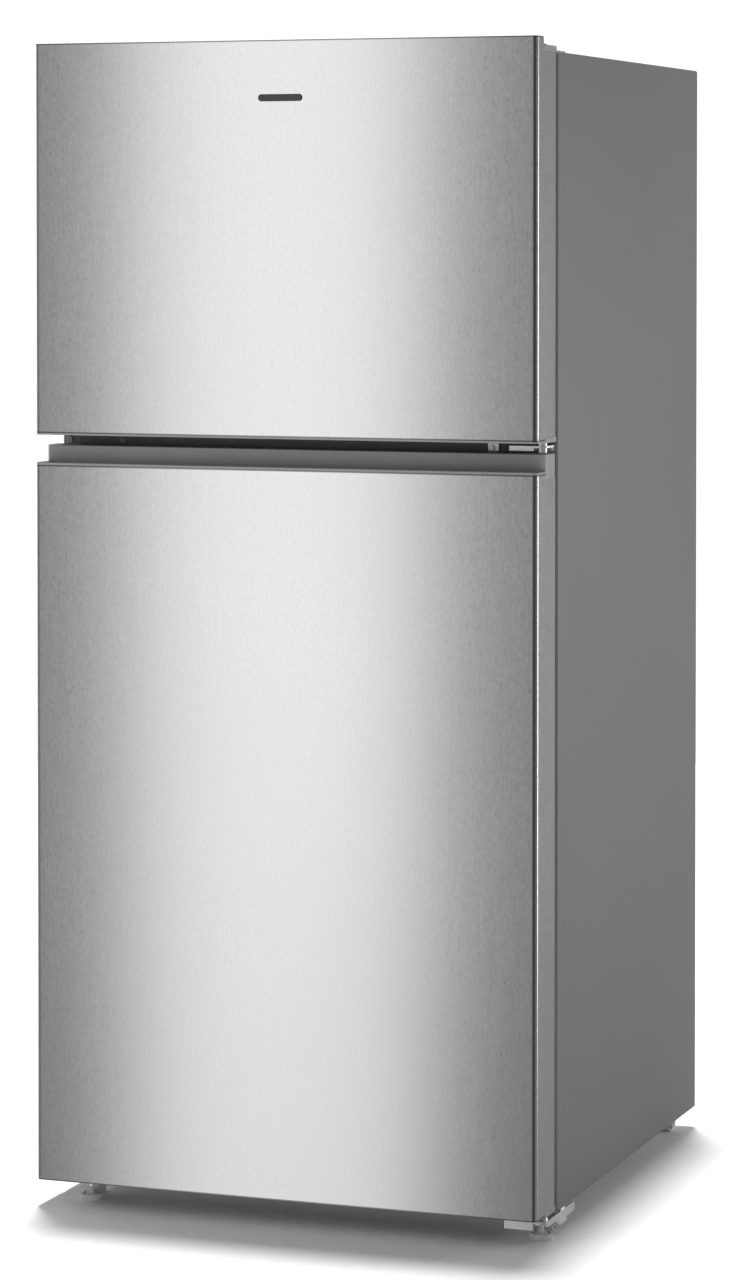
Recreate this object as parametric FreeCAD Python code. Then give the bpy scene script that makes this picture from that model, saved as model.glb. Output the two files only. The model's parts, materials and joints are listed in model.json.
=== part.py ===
import FreeCAD
import Part
import math
import os

# Top freezer refrigerator, built as the separate pieces it comes apart into.
# Millimetres, +Z up, -Y to the front. The origin is on the floor, under the centre of the object.
# "depth" values are measured back from the front face of the doors, and become Y through at().

Vec = FreeCAD.Vector
X_AXIS, Y_AXIS, Z_AXIS = Vec(1, 0, 0), Vec(0, 1, 0), Vec(0, 0, 1)

# ---------------------------------------------------------------- driving sizes
width = 756.0  # over the cabinet and the doors
overall_depth = 826.0  # door face to back panel
cabinet_top = 1658.0
cabinet_bottom = 33.0
split_height = 1070.0  # underside of the divider between the two cavities
divider = 70.0  # its thickness
sheet = 1.2  # cabinet steel
wrapper_bend = 4.0  # outside radius of the wrapper's folds
back_panel_sheet = 1.0
clear = 0.3  # between pieces that only meet
slide_gap = 1.5  # between pieces that slide
pin_play = 0.06  # radial clearance of everything that turns on a pin
side_fit = 0.1  # end caps inside the door steel
cap_gap = 0.2  # end caps to the foam, and to the edges of the steel
lip_setback = 0.4  # a cap's lip behind the face of the steel

# cavities
side_wall = 50.0  # outside of the cabinet to the inside of a liner
back_wall = 51.0
top_wall = 54.0
liner_wall = 2.0
fridge_floor = 92.0
liner_bend = 20.0  # inside radius of a liner's folds
liner_corner = 10.0  # inside radius of its upright corners
flange_width = 30.0  # front flange of the wrapper
hem_width = 14.0  # the wrapper's hems at its bottom and back
rail_rise, rail_drop = 8.0, 6.0  # divider rail's edges, inside the divider
rail_turn = 14.0
underside = 46.0
underside_bend = 12.0
underside_setback = 20.0  # its front edge to the cabinet's front
rib_reach, rib_height = 9.0, 7.0  # ledges that the shelves stand on
ledge_back_gap = 60.0  # a ledge's end to the liner's back

# compressor compartment under the back of the cabinet
machine_room = 251.0  # its depth, from the back
step_run = 30.0
step_top = 262.0
step_foam = 45.0
liner_step_run = 32.0
liner_step_top = 310.0

# doors
door_depth = 84.0
door_skin = 1.0
door_edge_radius = 7.0
cap_overhang = 8.0  # end caps reach this far back over the gasket gap
cap_inner_depth = 24.0  # how far a cap reaches inside the steel
door_gap = 15.3  # between the two doors' caps
fridge_cap_rise = 29.4  # top of the fridge door above the divider's underside
fridge_skin_drop = 27.4  # its steel ends this far below the cap's top
pocket_lip_drop = 23.4  # front lip of its pocket handle
fridge_door_bottom = 39.0
fridge_cap_bottom = 35.4
fridge_gasket_low = 56.0
freezer_hem, fridge_hem = 16.0, 16.0  # depth of the steel's fold at its top or bottom
freezer_skin_rise = 3.8  # steel above the freezer door's bottom cap
freezer_door_rise = 18.0  # front lip above the cabinet
freezer_cap_rise = 5.0  # the rest of its top above the cabinet
pocket_front, pocket_back = 10.0, 36.0
pocket_reach = 55.4  # from a cap's outer face to the bottom of its trough
freezer_pocket_reach = 35.3
pocket_end_wall = 14.0
pocket_wall, freezer_pocket_wall = 10.0, 8.0  # cap below the fridge's trough, and above the freezer's
dyke_inset = 8.0  # gap between a door's inner dyke and the cavity
dyke_width = 28.0
dyke_height = 36.0
dyke_radius = 22.0
dyke_end_gap = 10.0
door_liner_wall = 2.5
gasket_width = 20.0
gasket_inset = 16.0
gasket_thickness = 12.5
gasket_gap = 0.5  # gasket to the cabinet's front
badge_half_width, badge_half_height = 33.0, 5.0
badge_thickness = 1.6
badge_drop = 81.0  # below the top of the freezer door
cap_rear_radius = 4.0
liner_inset = 4.0  # a cap's core stops this far short of the door's back
pin_hole_depth = 14.0
lug_width, lug_height, lug_inset = 8.0, 34.0, 20.0  # ledges on a dyke that a bin hangs on

# hinge line, on the right
hinge_side = 14.0  # axis to the right side
hinge_inset = 16.0  # axis to the back of a door
pin_radius = 4.0
hollow_pin_radius = 6.0
hinge_plate = 2.5
pin_length = 13.0

# shelves, bins and drawers
bin_wall = 2.5
bin_depth = 95.0
bin_setback = 1.0  # a bin's back to the door liner
bin_end_gap = 1.5
band_height, band_reach = 16.0, 1.5  # thicker band along the top of a bin's front
bin_to_shelf = 18.5
glass = 4.0
glass_recess = 0.4  # top of a pane below the rim's top
shelf_rim, shelf_thick = 16.0, 8.0
drawer_wall = 2.5
drawer_height = 196.0
drawer_back_gap = 22.0  # a drawer's back to the liner's step
drawer_side_gap = 14.0
drawer_centre_gap = 6.0
upper_shelf_drop, lower_shelf_drop = 270.0, 530.0  # below the divider
freezer_shelf_rise = 232.0  # above the divider
shelf_back_gap = 12.0
shelf_trim, crisper_trim = 14.0, 26.0  # depth of a front trim below its shelf

# feet and rollers
foot_radius = 16.5
foot_height = 9.0
stud_radius = 4.0
nut_height = 6.0  # foot nuts, under their brackets
left_foot_side = 57.0  # from the left side
bracket_plate = 2.5
bracket_top = 28.6
roller_radius = 14.0
roller_width = 20.0
wide_roller_width = 30.0  # the one beside the hinge, which carries the most
front_roller_lift = 1.5
front_roller_setback = 9.0
rear_roller_radius = 15.0
rear_roller_setback = 44.0
rear_roller_side = 36.0
axle_radius = 3.0

# machinery
tray_height = 40.0
tray_sheet = 1.5
compressor_x, compressor_setback = 232.0, 110.0
compressor_radius, compressor_height = 60.0, 128.0
grommet_height = 12.0
pan_height = 46.0
fan_x, fan_setback, condenser_fan_z = 96.0, 112.0, 148.0
condenser_fan_radius = 62.0
cover_setback = 126.0  # freezer's inner back wall to the back
evaporator_fan_radius = 48.0
evaporator_shaft_radius, condenser_shaft_radius = 1.5, 2.0
evaporator_fan_drop = 124.0  # below the freezer's ceiling
inlet_side, inlet_z = 38.0, 84.0  # from the left side, and above the floor
inlet_radius, inlet_bore = 9.0, 3.6

# ---------------------------------------------------------------- sizes that follow
half = width / 2


def at(depth):
    """Y of a point that lies this far behind the front face of the doors."""
    return depth - overall_depth / 2


cabinet_front = door_depth + gasket_thickness + gasket_gap  # depth of the cabinet's front face
cap_depth = door_depth + cap_overhang
hinge_depth = door_depth - hinge_inset
hinge_y = at(hinge_depth)
hinge_x = half - hinge_side
shell_back = overall_depth - back_panel_sheet
cavity_x = half - side_wall  # inside face of both liners
liner_x = cavity_x + liner_wall  # outside face of both liners
liner_back = overall_depth - back_wall
freezer_ceiling = cabinet_top - top_wall
mullion_bottom, mullion_top = split_height, split_height + divider
ceiling = mullion_bottom - liner_wall
step_depth = overall_depth - machine_room
liner_step_depth = step_depth - step_foam

fridge_cap_top = split_height + fridge_cap_rise
fridge_door_top = fridge_cap_top - fridge_skin_drop
pocket_lip_top = fridge_cap_top - pocket_lip_drop
pocket_floor = fridge_cap_top - pocket_reach
freezer_cap_bottom = fridge_cap_top + door_gap
freezer_door_bottom = freezer_cap_bottom + freezer_skin_rise
pocket_roof = freezer_cap_bottom + freezer_pocket_reach
freezer_door_top = cabinet_top + freezer_door_rise
freezer_cap_level = cabinet_top + freezer_cap_rise
freezer_high_step, freezer_high_z = 26.0, freezer_cap_level - 7.7
freezer_low_step, freezer_low_z = 40.0, freezer_cap_bottom + 7.3
fridge_high_step, fridge_high_z = 41.0, fridge_cap_top - 35.4
fridge_low_step, fridge_low_z = 40.0, fridge_cap_bottom + 8.2
cap_front = door_skin + side_fit
cap_corner = door_edge_radius - door_skin + 0.2
centre_plate_low = fridge_cap_top + 7.2
centre_plate_high = centre_plate_low + 3.0
stop_z = fridge_cap_top + 4.6  # door stop and plugs on the cross rail
stop_side, stop_hole_radius = 96.0, 3.2
door_dyke_back = door_depth + dyke_height

bin_back = door_depth + bin_setback
shelf_front = bin_back + bin_depth + band_reach + bin_to_shelf
shelf_back = liner_back - shelf_back_gap
drawer_z = fridge_floor + liner_wall + clear
drawer_back = liner_step_depth - drawer_back_gap
upper_shelf_z = split_height - upper_shelf_drop
lower_shelf_z = split_height - lower_shelf_drop
spare_ledges = (split_height - 140.0, split_height - 400.0)
crisper_shelf_z = max(liner_step_top + liner_wall + 14.0, drawer_z + drawer_height + crisper_trim + 4.0)
shelf_ledges = [upper_shelf_z, lower_shelf_z, crisper_shelf_z, *spare_ledges]
freezer_shelf_z = mullion_top + freezer_shelf_rise
cover_depth = overall_depth - cover_setback
freezer_shelf_back = cover_depth - 60.0
fan_z = freezer_ceiling - evaporator_fan_drop
evaporator_fan_depth = cover_depth + 16.0

roller_depth = cabinet_front + front_roller_setback
roller_z = roller_radius + front_roller_lift
rear_roller_depth = overall_depth - rear_roller_setback
rear_roller_sides = (-half + rear_roller_side, half - rear_roller_side)
left_foot_x = -half + left_foot_side
inlet_x = -half + inlet_side
compressor_depth = overall_depth - compressor_setback
fan_depth = overall_depth - fan_setback
tray_front = step_depth + 12.0
tray_back = shell_back - sheet - 1.0
tray_floor = tray_height + tray_sheet
stub_top = tray_floor + grommet_height + compressor_height + 26.0  # pipe stubs on the compressor
suction_x, suction_depth = compressor_x - 30, compressor_depth - 20
discharge_x, discharge_depth = compressor_x + 24, compressor_depth + 22


# ---------------------------------------------------------------- shape helpers
def box(x0, x1, d0, d1, z0, z1):
    """Box between two X values, two depths and two heights."""
    return Part.makeBox(x1 - x0, d1 - d0, z1 - z0, Vec(x0, at(d0), z0))


def rod(x, d, z, radius, length, axis):
    return Part.makeCylinder(radius, length, Vec(x, at(d), z), axis)


def joined(shapes):
    whole = shapes[0].fuse(shapes[1:]) if len(shapes) > 1 else shapes[0]
    return whole.removeSplitter()


def group(shapes):
    return Part.makeCompound(shapes)


def corner_wire(points, radii):
    """Closed wire through 3-D points in one plane, each corner rounded by its radius."""
    count = len(points)
    entries, exits, middles = [], [], []
    for i, corner in enumerate(points):
        before = (points[i - 1] - corner).normalize()
        after = (points[(i + 1) % count] - corner).normalize()
        radius = radii[i]
        half_angle = before.getAngle(after) / 2
        reach = radius / math.tan(half_angle) if radius else 0
        entries.append(corner + before * reach)
        exits.append(corner + after * reach)
        inward = (before + after).normalize() if radius else Vec(0, 0, 0)
        offset = radius / math.sin(half_angle) - radius if radius else 0
        middles.append(corner + inward * offset)
    edges = []
    for i in range(count):
        if radii[i]:
            edges.append(Part.Arc(entries[i], middles[i], exits[i]).toShape())
        start, end = exits[i], entries[(i + 1) % count]
        if (end - start).Length > 1e-6:
            edges.append(Part.LineSegment(start, end).toShape())
    return Part.Wire(edges)


def plate_xz(points, radii, d0, d1):
    """Outline in X and Z, extruded from depth d0 to d1."""
    wire = corner_wire([Vec(x, at(d0), z) for x, z in points], radii)
    return Part.Face(wire).extrude(Vec(0, d1 - d0, 0))


def plate_xy(points, radii, z0, z1):
    """Outline in X and depth, extruded from height z0 to z1."""
    wire = corner_wire([Vec(x, at(d), z0) for x, d in points], radii)
    return Part.Face(wire).extrude(Vec(0, 0, z1 - z0))


def profile_yz(points, radii, x0, x1):
    """Outline in depth and Z, extruded along X."""
    wire = corner_wire([Vec(x0, at(d), z) for d, z in points], radii)
    return Part.Face(wire).extrude(Vec(x1 - x0, 0, 0))


def rect(a0, a1, b0, b1):
    return [(a0, b0), (a1, b0), (a1, b1), (a0, b1)]


def round_plate_xz(x0, x1, z0, z1, radius, d0, d1):
    return plate_xz(rect(x0, x1, z0, z1), [radius] * 4, d0, d1)


def round_plate_xy(x0, x1, d0, d1, radius, z0, z1):
    return plate_xy(rect(x0, x1, d0, d1), [radius] * 4, z0, z1)


def frame_xz(x1, z0, z1, radius, wall, d0, d1):
    """Rounded rectangular ring, symmetric in X, of a given wall."""
    outer = round_plate_xz(-x1, x1, z0, z1, radius, d0, d1)
    inner_radius = max(radius - wall, 1.0)
    inner = round_plate_xz(-x1 + wall, x1 - wall, z0 + wall, z1 - wall, inner_radius, d0 - 1, d1 + 1)
    return outer.cut(inner)


def tube_along(points, bend, radius):
    """Round bar along straight runs joined by arcs of one bend radius."""
    path = []
    last = points[0]
    for i in range(1, len(points) - 1):
        corner = points[i]
        before = (points[i - 1] - corner).normalize()
        after = (points[i + 1] - corner).normalize()
        half_angle = before.getAngle(after) / 2
        reach = bend / math.tan(half_angle)
        middle = corner + (before + after).normalize() * (bend / math.sin(half_angle) - bend)
        entry, leave = corner + before * reach, corner + after * reach
        path.append(Part.LineSegment(last, entry).toShape())
        path.append(Part.Arc(entry, middle, leave).toShape())
        last = leave
    path.append(Part.LineSegment(last, points[-1]).toShape())
    section = Part.Wire([Part.makeCircle(radius, points[0], points[1] - points[0])])
    return Part.Wire(path).makePipeShell([section], True, True)


def edges_where(shape, test):
    """Edges whose middle point passes a test."""
    found = []
    for edge in shape.Edges:
        middle = edge.valueAt((edge.FirstParameter + edge.LastParameter) / 2)
        if test(middle, edge):
            found.append(edge)
    return found


def near(value, target, within=0.01):
    return abs(value - target) < within


# ---------------------------------------------------------------- cabinet
def wrapper_block(inset, radius, d0, d1, z0):
    """Outside form of the wrapper, or its inside form when inset by the sheet."""
    x, top = half - inset, cabinet_top - inset
    block = box(-x, x, d0, d1, z0, top)
    front = at(d0)

    def rounded(point, edge):
        upright = near(point.y, front) and near(abs(point.x), x)
        crown = near(point.z, top) and (near(abs(point.x), x) or near(point.y, front))
        return upright or crown

    return block.makeFillet(radius, edges_where(block, rounded))


def cabinet_shell():
    bend = wrapper_bend
    outside = wrapper_block(0, bend, cabinet_front, shell_back, cabinet_bottom)
    inside = wrapper_block(sheet, bend - sheet, cabinet_front + sheet, shell_back + 5, cabinet_bottom - 5)
    window_x = half - flange_width
    window = box(-window_x, window_x, cabinet_front - 1, cabinet_front + sheet + 1,
                 cabinet_bottom - 1, cabinet_top - flange_width)
    shell = outside.cut(inside).cut(window)
    pieces = [shell]
    hem_front, hem_back = cabinet_front + sheet, shell_back - sheet
    low, high = cabinet_bottom, cabinet_top - sheet
    for side in (-1, 1):
        inner, outer = sorted((side * (half - hem_width), side * (half - sheet)))
        pieces.append(box(inner, outer, hem_front, shell_back, low, low + sheet))
        pieces.append(box(inner, outer, hem_back, shell_back, low, high))
    span = half - hem_width
    pieces.append(box(-span, span, hem_back, shell_back, cabinet_top - hem_width, high))
    return joined(pieces)


def back_panel():
    """Flat steel back above the compressor compartment, with three stiffening pads."""
    edge, side_margin, row_margin = 3.0, 70.0, 60.0
    pad_radius, pad_ring = 30.0, 10.0
    x, z0, z1 = half - edge, step_top + sheet, cabinet_top - edge
    panel = box(-x, x, shell_back, overall_depth, z0, z1)
    pads = []
    rows = 3
    pitch = (z1 - z0) / rows
    for row in range(rows):
        low = z0 + row * pitch + row_margin
        high = z0 + (row + 1) * pitch - row_margin
        pads.append(frame_xz(x - side_margin, low, high, pad_radius, pad_ring,
                             shell_back - sheet, overall_depth))
    return joined([panel] + pads)


def underside_panel():
    """Steel floor of the cabinet, turned up over the compressor compartment."""
    x = half - sheet - clear
    front, back = cabinet_front + underside_setback, shell_back - sheet - clear
    low, high = underside, step_top
    turn = step_depth + step_run
    lower = [(front, low), (step_depth, low), (turn, high), (back, high)]
    upper = [(back, high + sheet), (turn - sheet, high + sheet),
             (step_depth - sheet, low + sheet), (front, low + sheet)]
    bend = underside_bend
    return profile_yz(lower + upper, [0, bend, bend, 0, 0, bend + sheet, bend - sheet, 0], -x, x)


def insulation_foam():
    """Foam behind every liner wall. Each wall, the floor and the divider are separate blocks."""
    x_out, x_in = half - sheet, liner_x
    z_low, z_high = underside + sheet + clear, cabinet_top - sheet
    front, back = cabinet_front + wrapper_bend, shell_back - sheet
    step_z = step_top + sheet + clear
    liner_rear = liner_back + liner_wall
    blocks = []
    for side in (-1, 1):
        x0, x1 = sorted((side * x_in, side * x_out))
        side_top = cabinet_top - wrapper_bend
        blocks.append(box(x0, x1, front, liner_step_depth, z_low, side_top))
        blocks.append(box(x0, x1, liner_step_depth, back, liner_step_top, side_top))
    blocks.append(box(-x_in, x_in, liner_rear, back, liner_step_top, z_high))
    blocks.append(box(-x_in, x_in, front, liner_rear, freezer_ceiling + liner_wall, z_high))
    blocks.append(box(-x_in, x_in, front, liner_rear, mullion_bottom, mullion_top))
    blocks.append(box(-x_in, x_in, front, liner_step_depth, z_low, fridge_floor))
    bend = underside_bend + 1.0  # foam corners are cut off where the sheet or the liner is rounded
    run = Vec(liner_step_run, 0, liner_step_top - fridge_floor).normalize()
    slope_top = liner_step_depth + liner_step_run
    shoulder = (slope_top - bend * run.x, liner_step_top - bend * run.z)
    offset = sheet + 2 * clear
    heel = step_depth - offset
    turn = step_depth + step_run - offset
    ramp = [(liner_step_depth, z_low), (heel - bend, z_low), (heel + bend * run.x, z_low + bend),
            (turn, step_z), shoulder, (liner_step_depth, fridge_floor)]
    roof = [(turn, step_z), (back, step_z), (back, liner_step_top),
            (slope_top + bend, liner_step_top), shoulder]
    for outline in (ramp, roof):
        blocks.append(profile_yz(outline, [0] * len(outline), -x_out, x_out))
    return group(blocks)


def front_rails():
    """Cross rails on the cabinet's front: one between the doors, one at the floor."""
    x = half - flange_width - clear
    front, back = cabinet_front, cabinet_front + sheet
    middle = box(-x, x, front, back, mullion_bottom + rail_rise, mullion_top - rail_drop)
    for hole_x in (-half + stop_side, half - stop_side):
        middle = middle.cut(rod(hole_x, front - 1, stop_z, stop_hole_radius, sheet + 2, Y_AXIS))
    low = cabinet_bottom
    bottom = joined([
        box(-x, x, front, back, low, fridge_floor - rail_drop),
        box(-x, x, front, front + rail_turn, low, low + sheet),
    ])
    return group([middle, bottom])


def liner(inner_points, inner_radii, outer_points, outer_radii, lip_low, lip_high):
    """Thermoformed liner: a tub open to the front with a flange round its mouth."""
    outer = profile_yz(outer_points, outer_radii, -liner_x, liner_x)
    inner = profile_yz(inner_points, inner_radii, -cavity_x, cavity_x)

    def side_edge(x):
        return lambda point, edge: near(abs(point.x), x) and point.y > at(cabinet_front) + 0.5

    outer = outer.makeFillet(liner_corner + liner_wall, edges_where(outer, side_edge(liner_x)))
    inner = inner.makeFillet(liner_corner, edges_where(inner, side_edge(cavity_x)))
    lip_x = half - flange_width - clear
    lip = box(-lip_x, lip_x, cabinet_front, cabinet_front + liner_wall, lip_low, lip_high)
    return joined([outer, lip]).cut(inner)


def liner_ribs(heights, back_depth):
    """Ledges on both side walls that the shelves stand on."""
    ribs = []
    for z in heights:
        for side in (-1, 1):
            x0, x1 = sorted((side * (cavity_x - rib_reach), side * (cavity_x + liner_wall / 2)))
            ribs.append(box(x0, x1, shelf_front + 12, back_depth, z - rib_height, z))
    return ribs


def fridge_liner():
    front, back = cabinet_front, liner_back + liner_wall
    low, high = fridge_floor, mullion_bottom
    turn = liner_step_depth + liner_step_run
    wall = liner_wall
    mouth = front - 5  # the cavity is cut out past the front face
    outer = [(front, low), (liner_step_depth, low), (turn, liner_step_top),
             (back, liner_step_top), (back, high), (front, high)]
    inner = [(mouth, low + wall), (liner_step_depth - wall, low + wall), (turn - wall, liner_step_top + wall),
             (back - wall, liner_step_top + wall), (back - wall, high - wall), (mouth, high - wall)]
    bend, knee = liner_bend, liner_bend - 4
    shell = liner(inner, [0, bend, knee, bend, bend, 0],
                  outer, [0, bend + wall, knee - wall, bend + wall, bend + wall, 0],
                  low - rail_drop + clear, high + rail_rise - clear)
    ribs = liner_ribs(shelf_ledges, liner_back - ledge_back_gap)
    return joined([shell] + ribs)


def freezer_liner():
    front, back = cabinet_front, liner_back + liner_wall
    low, high = mullion_top, freezer_ceiling + liner_wall
    wall = liner_wall
    mouth = front - 5
    outer = [(front, low), (back, low), (back, high), (front, high)]
    inner = [(mouth, low + wall), (back - wall, low + wall), (back - wall, high - wall), (mouth, high - wall)]
    bend = liner_bend
    shell = liner(inner, [0, bend, bend, 0], outer, [0, bend + wall, bend + wall, 0],
                  low - rail_drop + clear, cabinet_top - flange_width - clear)
    ribs = liner_ribs([freezer_shelf_z], freezer_shelf_back - 8)
    return joined([shell] + ribs)


# ---------------------------------------------------------------- shelves and drawers
def shelf_frame(z, front, back, trim_height):
    """Plastic rim of a glass shelf: side runners, a back bar and a deeper front trim."""
    x = cavity_x - slide_gap
    rim, thick = shelf_rim, shelf_thick
    outer = round_plate_xy(-x, x, front, back, 6, z, z + thick)
    opening = round_plate_xy(-x + rim, x - rim, front + rim + 4, back - rim, 4, z - 1, z + thick + 1)
    seat = round_plate_xy(-x + rim / 2, x - rim / 2, front + rim / 2 + 4, back - rim / 2, 5,
                          z + thick - glass, z + thick + 1)
    trim_low = z - trim_height
    rail = profile_yz([(front, z + thick), (front, trim_low), (front + 5, trim_low), (front + 9, z)],
                      [3, 2, 0, 0], -x, x)
    return joined([outer, rail]).cut(opening).cut(seat)


def glass_pane(z, front, back):
    x = cavity_x - slide_gap
    inset = shelf_rim / 2 + clear
    top = z + shelf_thick
    return round_plate_xy(-x + inset, x - inset, front + inset + 4, back - inset, 5 - clear,
                          top - glass, top - glass_recess)


humidity_slot_length = 70.0
humidity_slot_height = 7.0
humidity_drop = 11.0  # below the crisper shelf
humidity_z = crisper_shelf_z - humidity_drop
humidity_x = cavity_x / 2
crisper_trim_reach = 4.0  # the crisper shelf's trim stands this far in front of the others


def crisper_frame():
    """Rim of the shelf over the crispers, with a fin between them and two slots for the humidity slides."""
    z = crisper_shelf_z
    fin = box(-2.0, 2.0, shelf_front + 9, drawer_back, z - 70, z)
    frame = joined([shelf_frame(z, shelf_front - crisper_trim_reach, shelf_back, crisper_trim), fin])
    reach, rise = humidity_slot_length / 2, humidity_slot_height / 2
    for side in (-1, 1):
        centre = side * humidity_x
        slot = round_plate_xz(centre - reach, centre + reach, humidity_z - rise, humidity_z + rise,
                              rise - 0.2, shelf_front - 10, shelf_front + 12)
        frame = frame.cut(slot)
    return frame


def shelf_frames():
    frames = [shelf_frame(z, shelf_front, shelf_back, shelf_trim) for z in (upper_shelf_z, lower_shelf_z)]
    return group(frames + [crisper_frame()])


def shelf_glass():
    panes = [glass_pane(z, shelf_front, shelf_back) for z in (upper_shelf_z, lower_shelf_z)]
    return group(panes + [glass_pane(crisper_shelf_z, shelf_front - crisper_trim_reach, shelf_back)])


def freezer_shelf():
    """Wire shelf: a perimeter rod, two cross bars and a row of thin wires."""
    rim_radius, bar_radius, wire_radius = 3.0, 2.2, 1.6
    x = cavity_x - slide_gap - rim_radius
    z = freezer_shelf_z + rim_radius + 0.2
    front, back = shelf_front, freezer_shelf_back
    corner, guard_drop, margin = 14.0, 13.0, 24.0
    rim = tube_along([Vec(0, at(front), z), Vec(x, at(front), z), Vec(x, at(back), z), Vec(-x, at(back), z),
                      Vec(-x, at(front), z), Vec(-0.01, at(front), z)], corner, rim_radius)
    pieces = [rim]
    for depth in (front + 150, front + 300):
        pieces.append(rod(-x, depth, z - 1.0, bar_radius, 2 * x, X_AXIS))
    count = 21
    pitch = 2 * (x - margin) / (count - 1)
    for i in range(count):
        pieces.append(rod(-x + margin + i * pitch, front, z + 1.2, wire_radius, back - front, Y_AXIS))
    pieces.append(rod(-x, front - 0.5, z - guard_drop, bar_radius, 2 * x, X_AXIS))
    for side in (-1, 0, 1):
        pieces.append(rod(side * (x - 0.5), front, z - guard_drop, bar_radius, guard_drop, Z_AXIS))
    return joined(pieces)


def open_tub(x0, x1, d0, d1, z0, z1, wall, corner, rim):
    """Thin-walled tub, open at the top, with a rolled-out rim on its top edge."""
    body = round_plate_xy(x0, x1, d0, d1, corner, z0, z1)

    def bottom_edge(point, edge):
        return near(point.z, z0)

    foot = min(corner * 0.6, 8.0)  # rounding of the bottom edge
    body = body.makeFillet(foot, edges_where(body, bottom_edge))
    hollow = round_plate_xy(x0 + wall, x1 - wall, d0 + wall, d1 - wall, corner - wall, z0 + wall, z1 + 1)
    hollow = hollow.makeFillet(foot - wall, edges_where(hollow, lambda p, e: near(p.z, z0 + wall)))
    lip = round_plate_xy(x0 - rim, x1 + rim, d0 - rim, d1 + rim, corner + rim, z1 - wall, z1)
    return joined([body, lip]).cut(hollow)


def crisper(side):
    """Clear drawer with a moulded front and a finger scoop along its top edge."""
    outer = side * (cavity_x - drawer_side_gap)
    inner = side * drawer_centre_gap
    x0, x1 = sorted((inner, outer))
    rim, face_thickness = 2.0, 6.0
    top = drawer_z + drawer_height
    front = shelf_front
    tub = open_tub(x0 + rim, x1 - rim, front + face_thickness, drawer_back, drawer_z, top,
                   drawer_wall, 12.0, rim)
    face = round_plate_xz(x0 + 1, x1 - 1, drawer_z, top - 4, 8, front, front + face_thickness + 0.5)
    centre = (x0 + x1) / 2
    grip, grip_wall, grip_reach, grip_low = 70.0, 4.0, 6.0, 30.0
    scoop = profile_yz([(front - grip_reach, top - grip_low), (front + 3, top - grip_low),
                        (front + 3, top - 4), (front - grip_reach, top - 4)],
                       [3, 0, 0, 3], centre - grip, centre + grip)
    hollow = box(centre - grip + grip_wall, centre + grip - grip_wall, front - grip_reach + 3, front + 0.01,
                 top - grip_low - 1, top - 9)
    return joined([tub, face, scoop]).cut(hollow)


def humidity_slide(side):
    """Thumb tab that runs in a slot of the crisper shelf's front trim."""
    centre = side * humidity_x
    high = humidity_slot_height / 2 - clear
    stem = box(centre - 5, centre + 5, shelf_front - 6.5, shelf_front + 8,
               humidity_z - high, humidity_z + high)
    thumb = round_plate_xz(centre - 11, centre + 11, humidity_z - 7, humidity_z + 7, 3,
                           shelf_front - 10.5, shelf_front - crisper_trim_reach - 0.6)
    keeper = box(centre - 8, centre + 8, shelf_front + 6.2, shelf_front + 8, humidity_z - 6, humidity_z + 6)
    return joined([stem, thumb, keeper])


# ---------------------------------------------------------------- freezer air system
def evaporator_cover():
    """Inner back wall of the freezer, with a fan grille above and return slots below, plus its fan motor."""
    x, wall = cavity_x - 1.0, 2.5
    low, high = mullion_top + liner_wall + 1, freezer_ceiling - 1
    flat = round_plate_xz(-x, x, low, high, 9, cover_depth, cover_depth + wall)
    bulge_x, bulge_z, bulge_corner = 170.0, 80.0, 24.0
    front = cover_depth - 14.0
    bulge = round_plate_xz(-bulge_x, bulge_x, fan_z - bulge_z, fan_z + bulge_z, bulge_corner,
                           front, cover_depth + 1)
    bulge = bulge.makeFillet(6, edges_where(bulge, lambda p, e: near(p.y, at(front))))
    in_x, in_z = bulge_x - 3, bulge_z - 3
    hollow = round_plate_xz(-in_x, in_x, fan_z - in_z, fan_z + in_z, bulge_corner - 3,
                            front + wall, cover_depth + wall + 1)
    hollow = hollow.makeFillet(4, edges_where(hollow, lambda p, e: near(p.y, at(front + wall))))
    cover = joined([flat, bulge]).cut(hollow)
    for slot in grille_slots(front, wall, low):
        cover = cover.cut(slot)
    motor_front, motor_back = evaporator_fan_depth + 12, evaporator_fan_depth + 32
    motor = rod(0, motor_front, fan_z, 19, motor_back - motor_front, Y_AXIS)
    motor = motor.makeFillet(3, edges_where(motor, lambda p, e: near(p.y, at(motor_back))))
    motor = motor.fuse(rod(0, evaporator_fan_depth - 3, fan_z, evaporator_shaft_radius, 16, Y_AXIS))
    reach, rise, plate = 80.0, 9.0, 2.0
    spider = [box(-reach, reach, motor_back, motor_back + plate, fan_z - rise, fan_z + rise)]
    for x0 in (-reach, reach - 6):
        spider.append(box(x0, x0 + 6, cover_depth + wall, motor_back + plate, fan_z - rise, fan_z + rise))
    return group([cover, joined([motor, joined(spider)])])


def grille_slots(front, wall, low):
    """Slots in front of the fan and beside it, and the row of return slots along the bottom."""
    cuts = []
    rise, corner = 3.0, 2.8

    def fan_slot(x0, x1, z):
        cuts.append(round_plate_xz(x0, x1, z - rise, z + rise, corner, front - 2, front + 4))

    rows, pitch = 9, 13.0
    for row in range(rows):
        drop = (row - (rows - 1) / 2) * pitch
        reach = math.sqrt(max(evaporator_fan_radius ** 2 * 1.25 - drop ** 2, 100))
        fan_slot(-reach, reach, fan_z + drop)
    for side in (-1, 1):
        for row in range(4):
            fan_slot(*sorted((side * 90, side * 150)), fan_z - 30 + row * 20)
    returns, margin, length = 14, 60.0, 26.0
    for i in range(returns):
        x0 = -cavity_x + margin + i * 2 * (cavity_x - margin) / returns
        cuts.append(round_plate_xz(x0, x0 + length, low + 16, low + 26, 4.5,
                                   cover_depth - 1, cover_depth + wall + 1))
    return cuts


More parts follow.
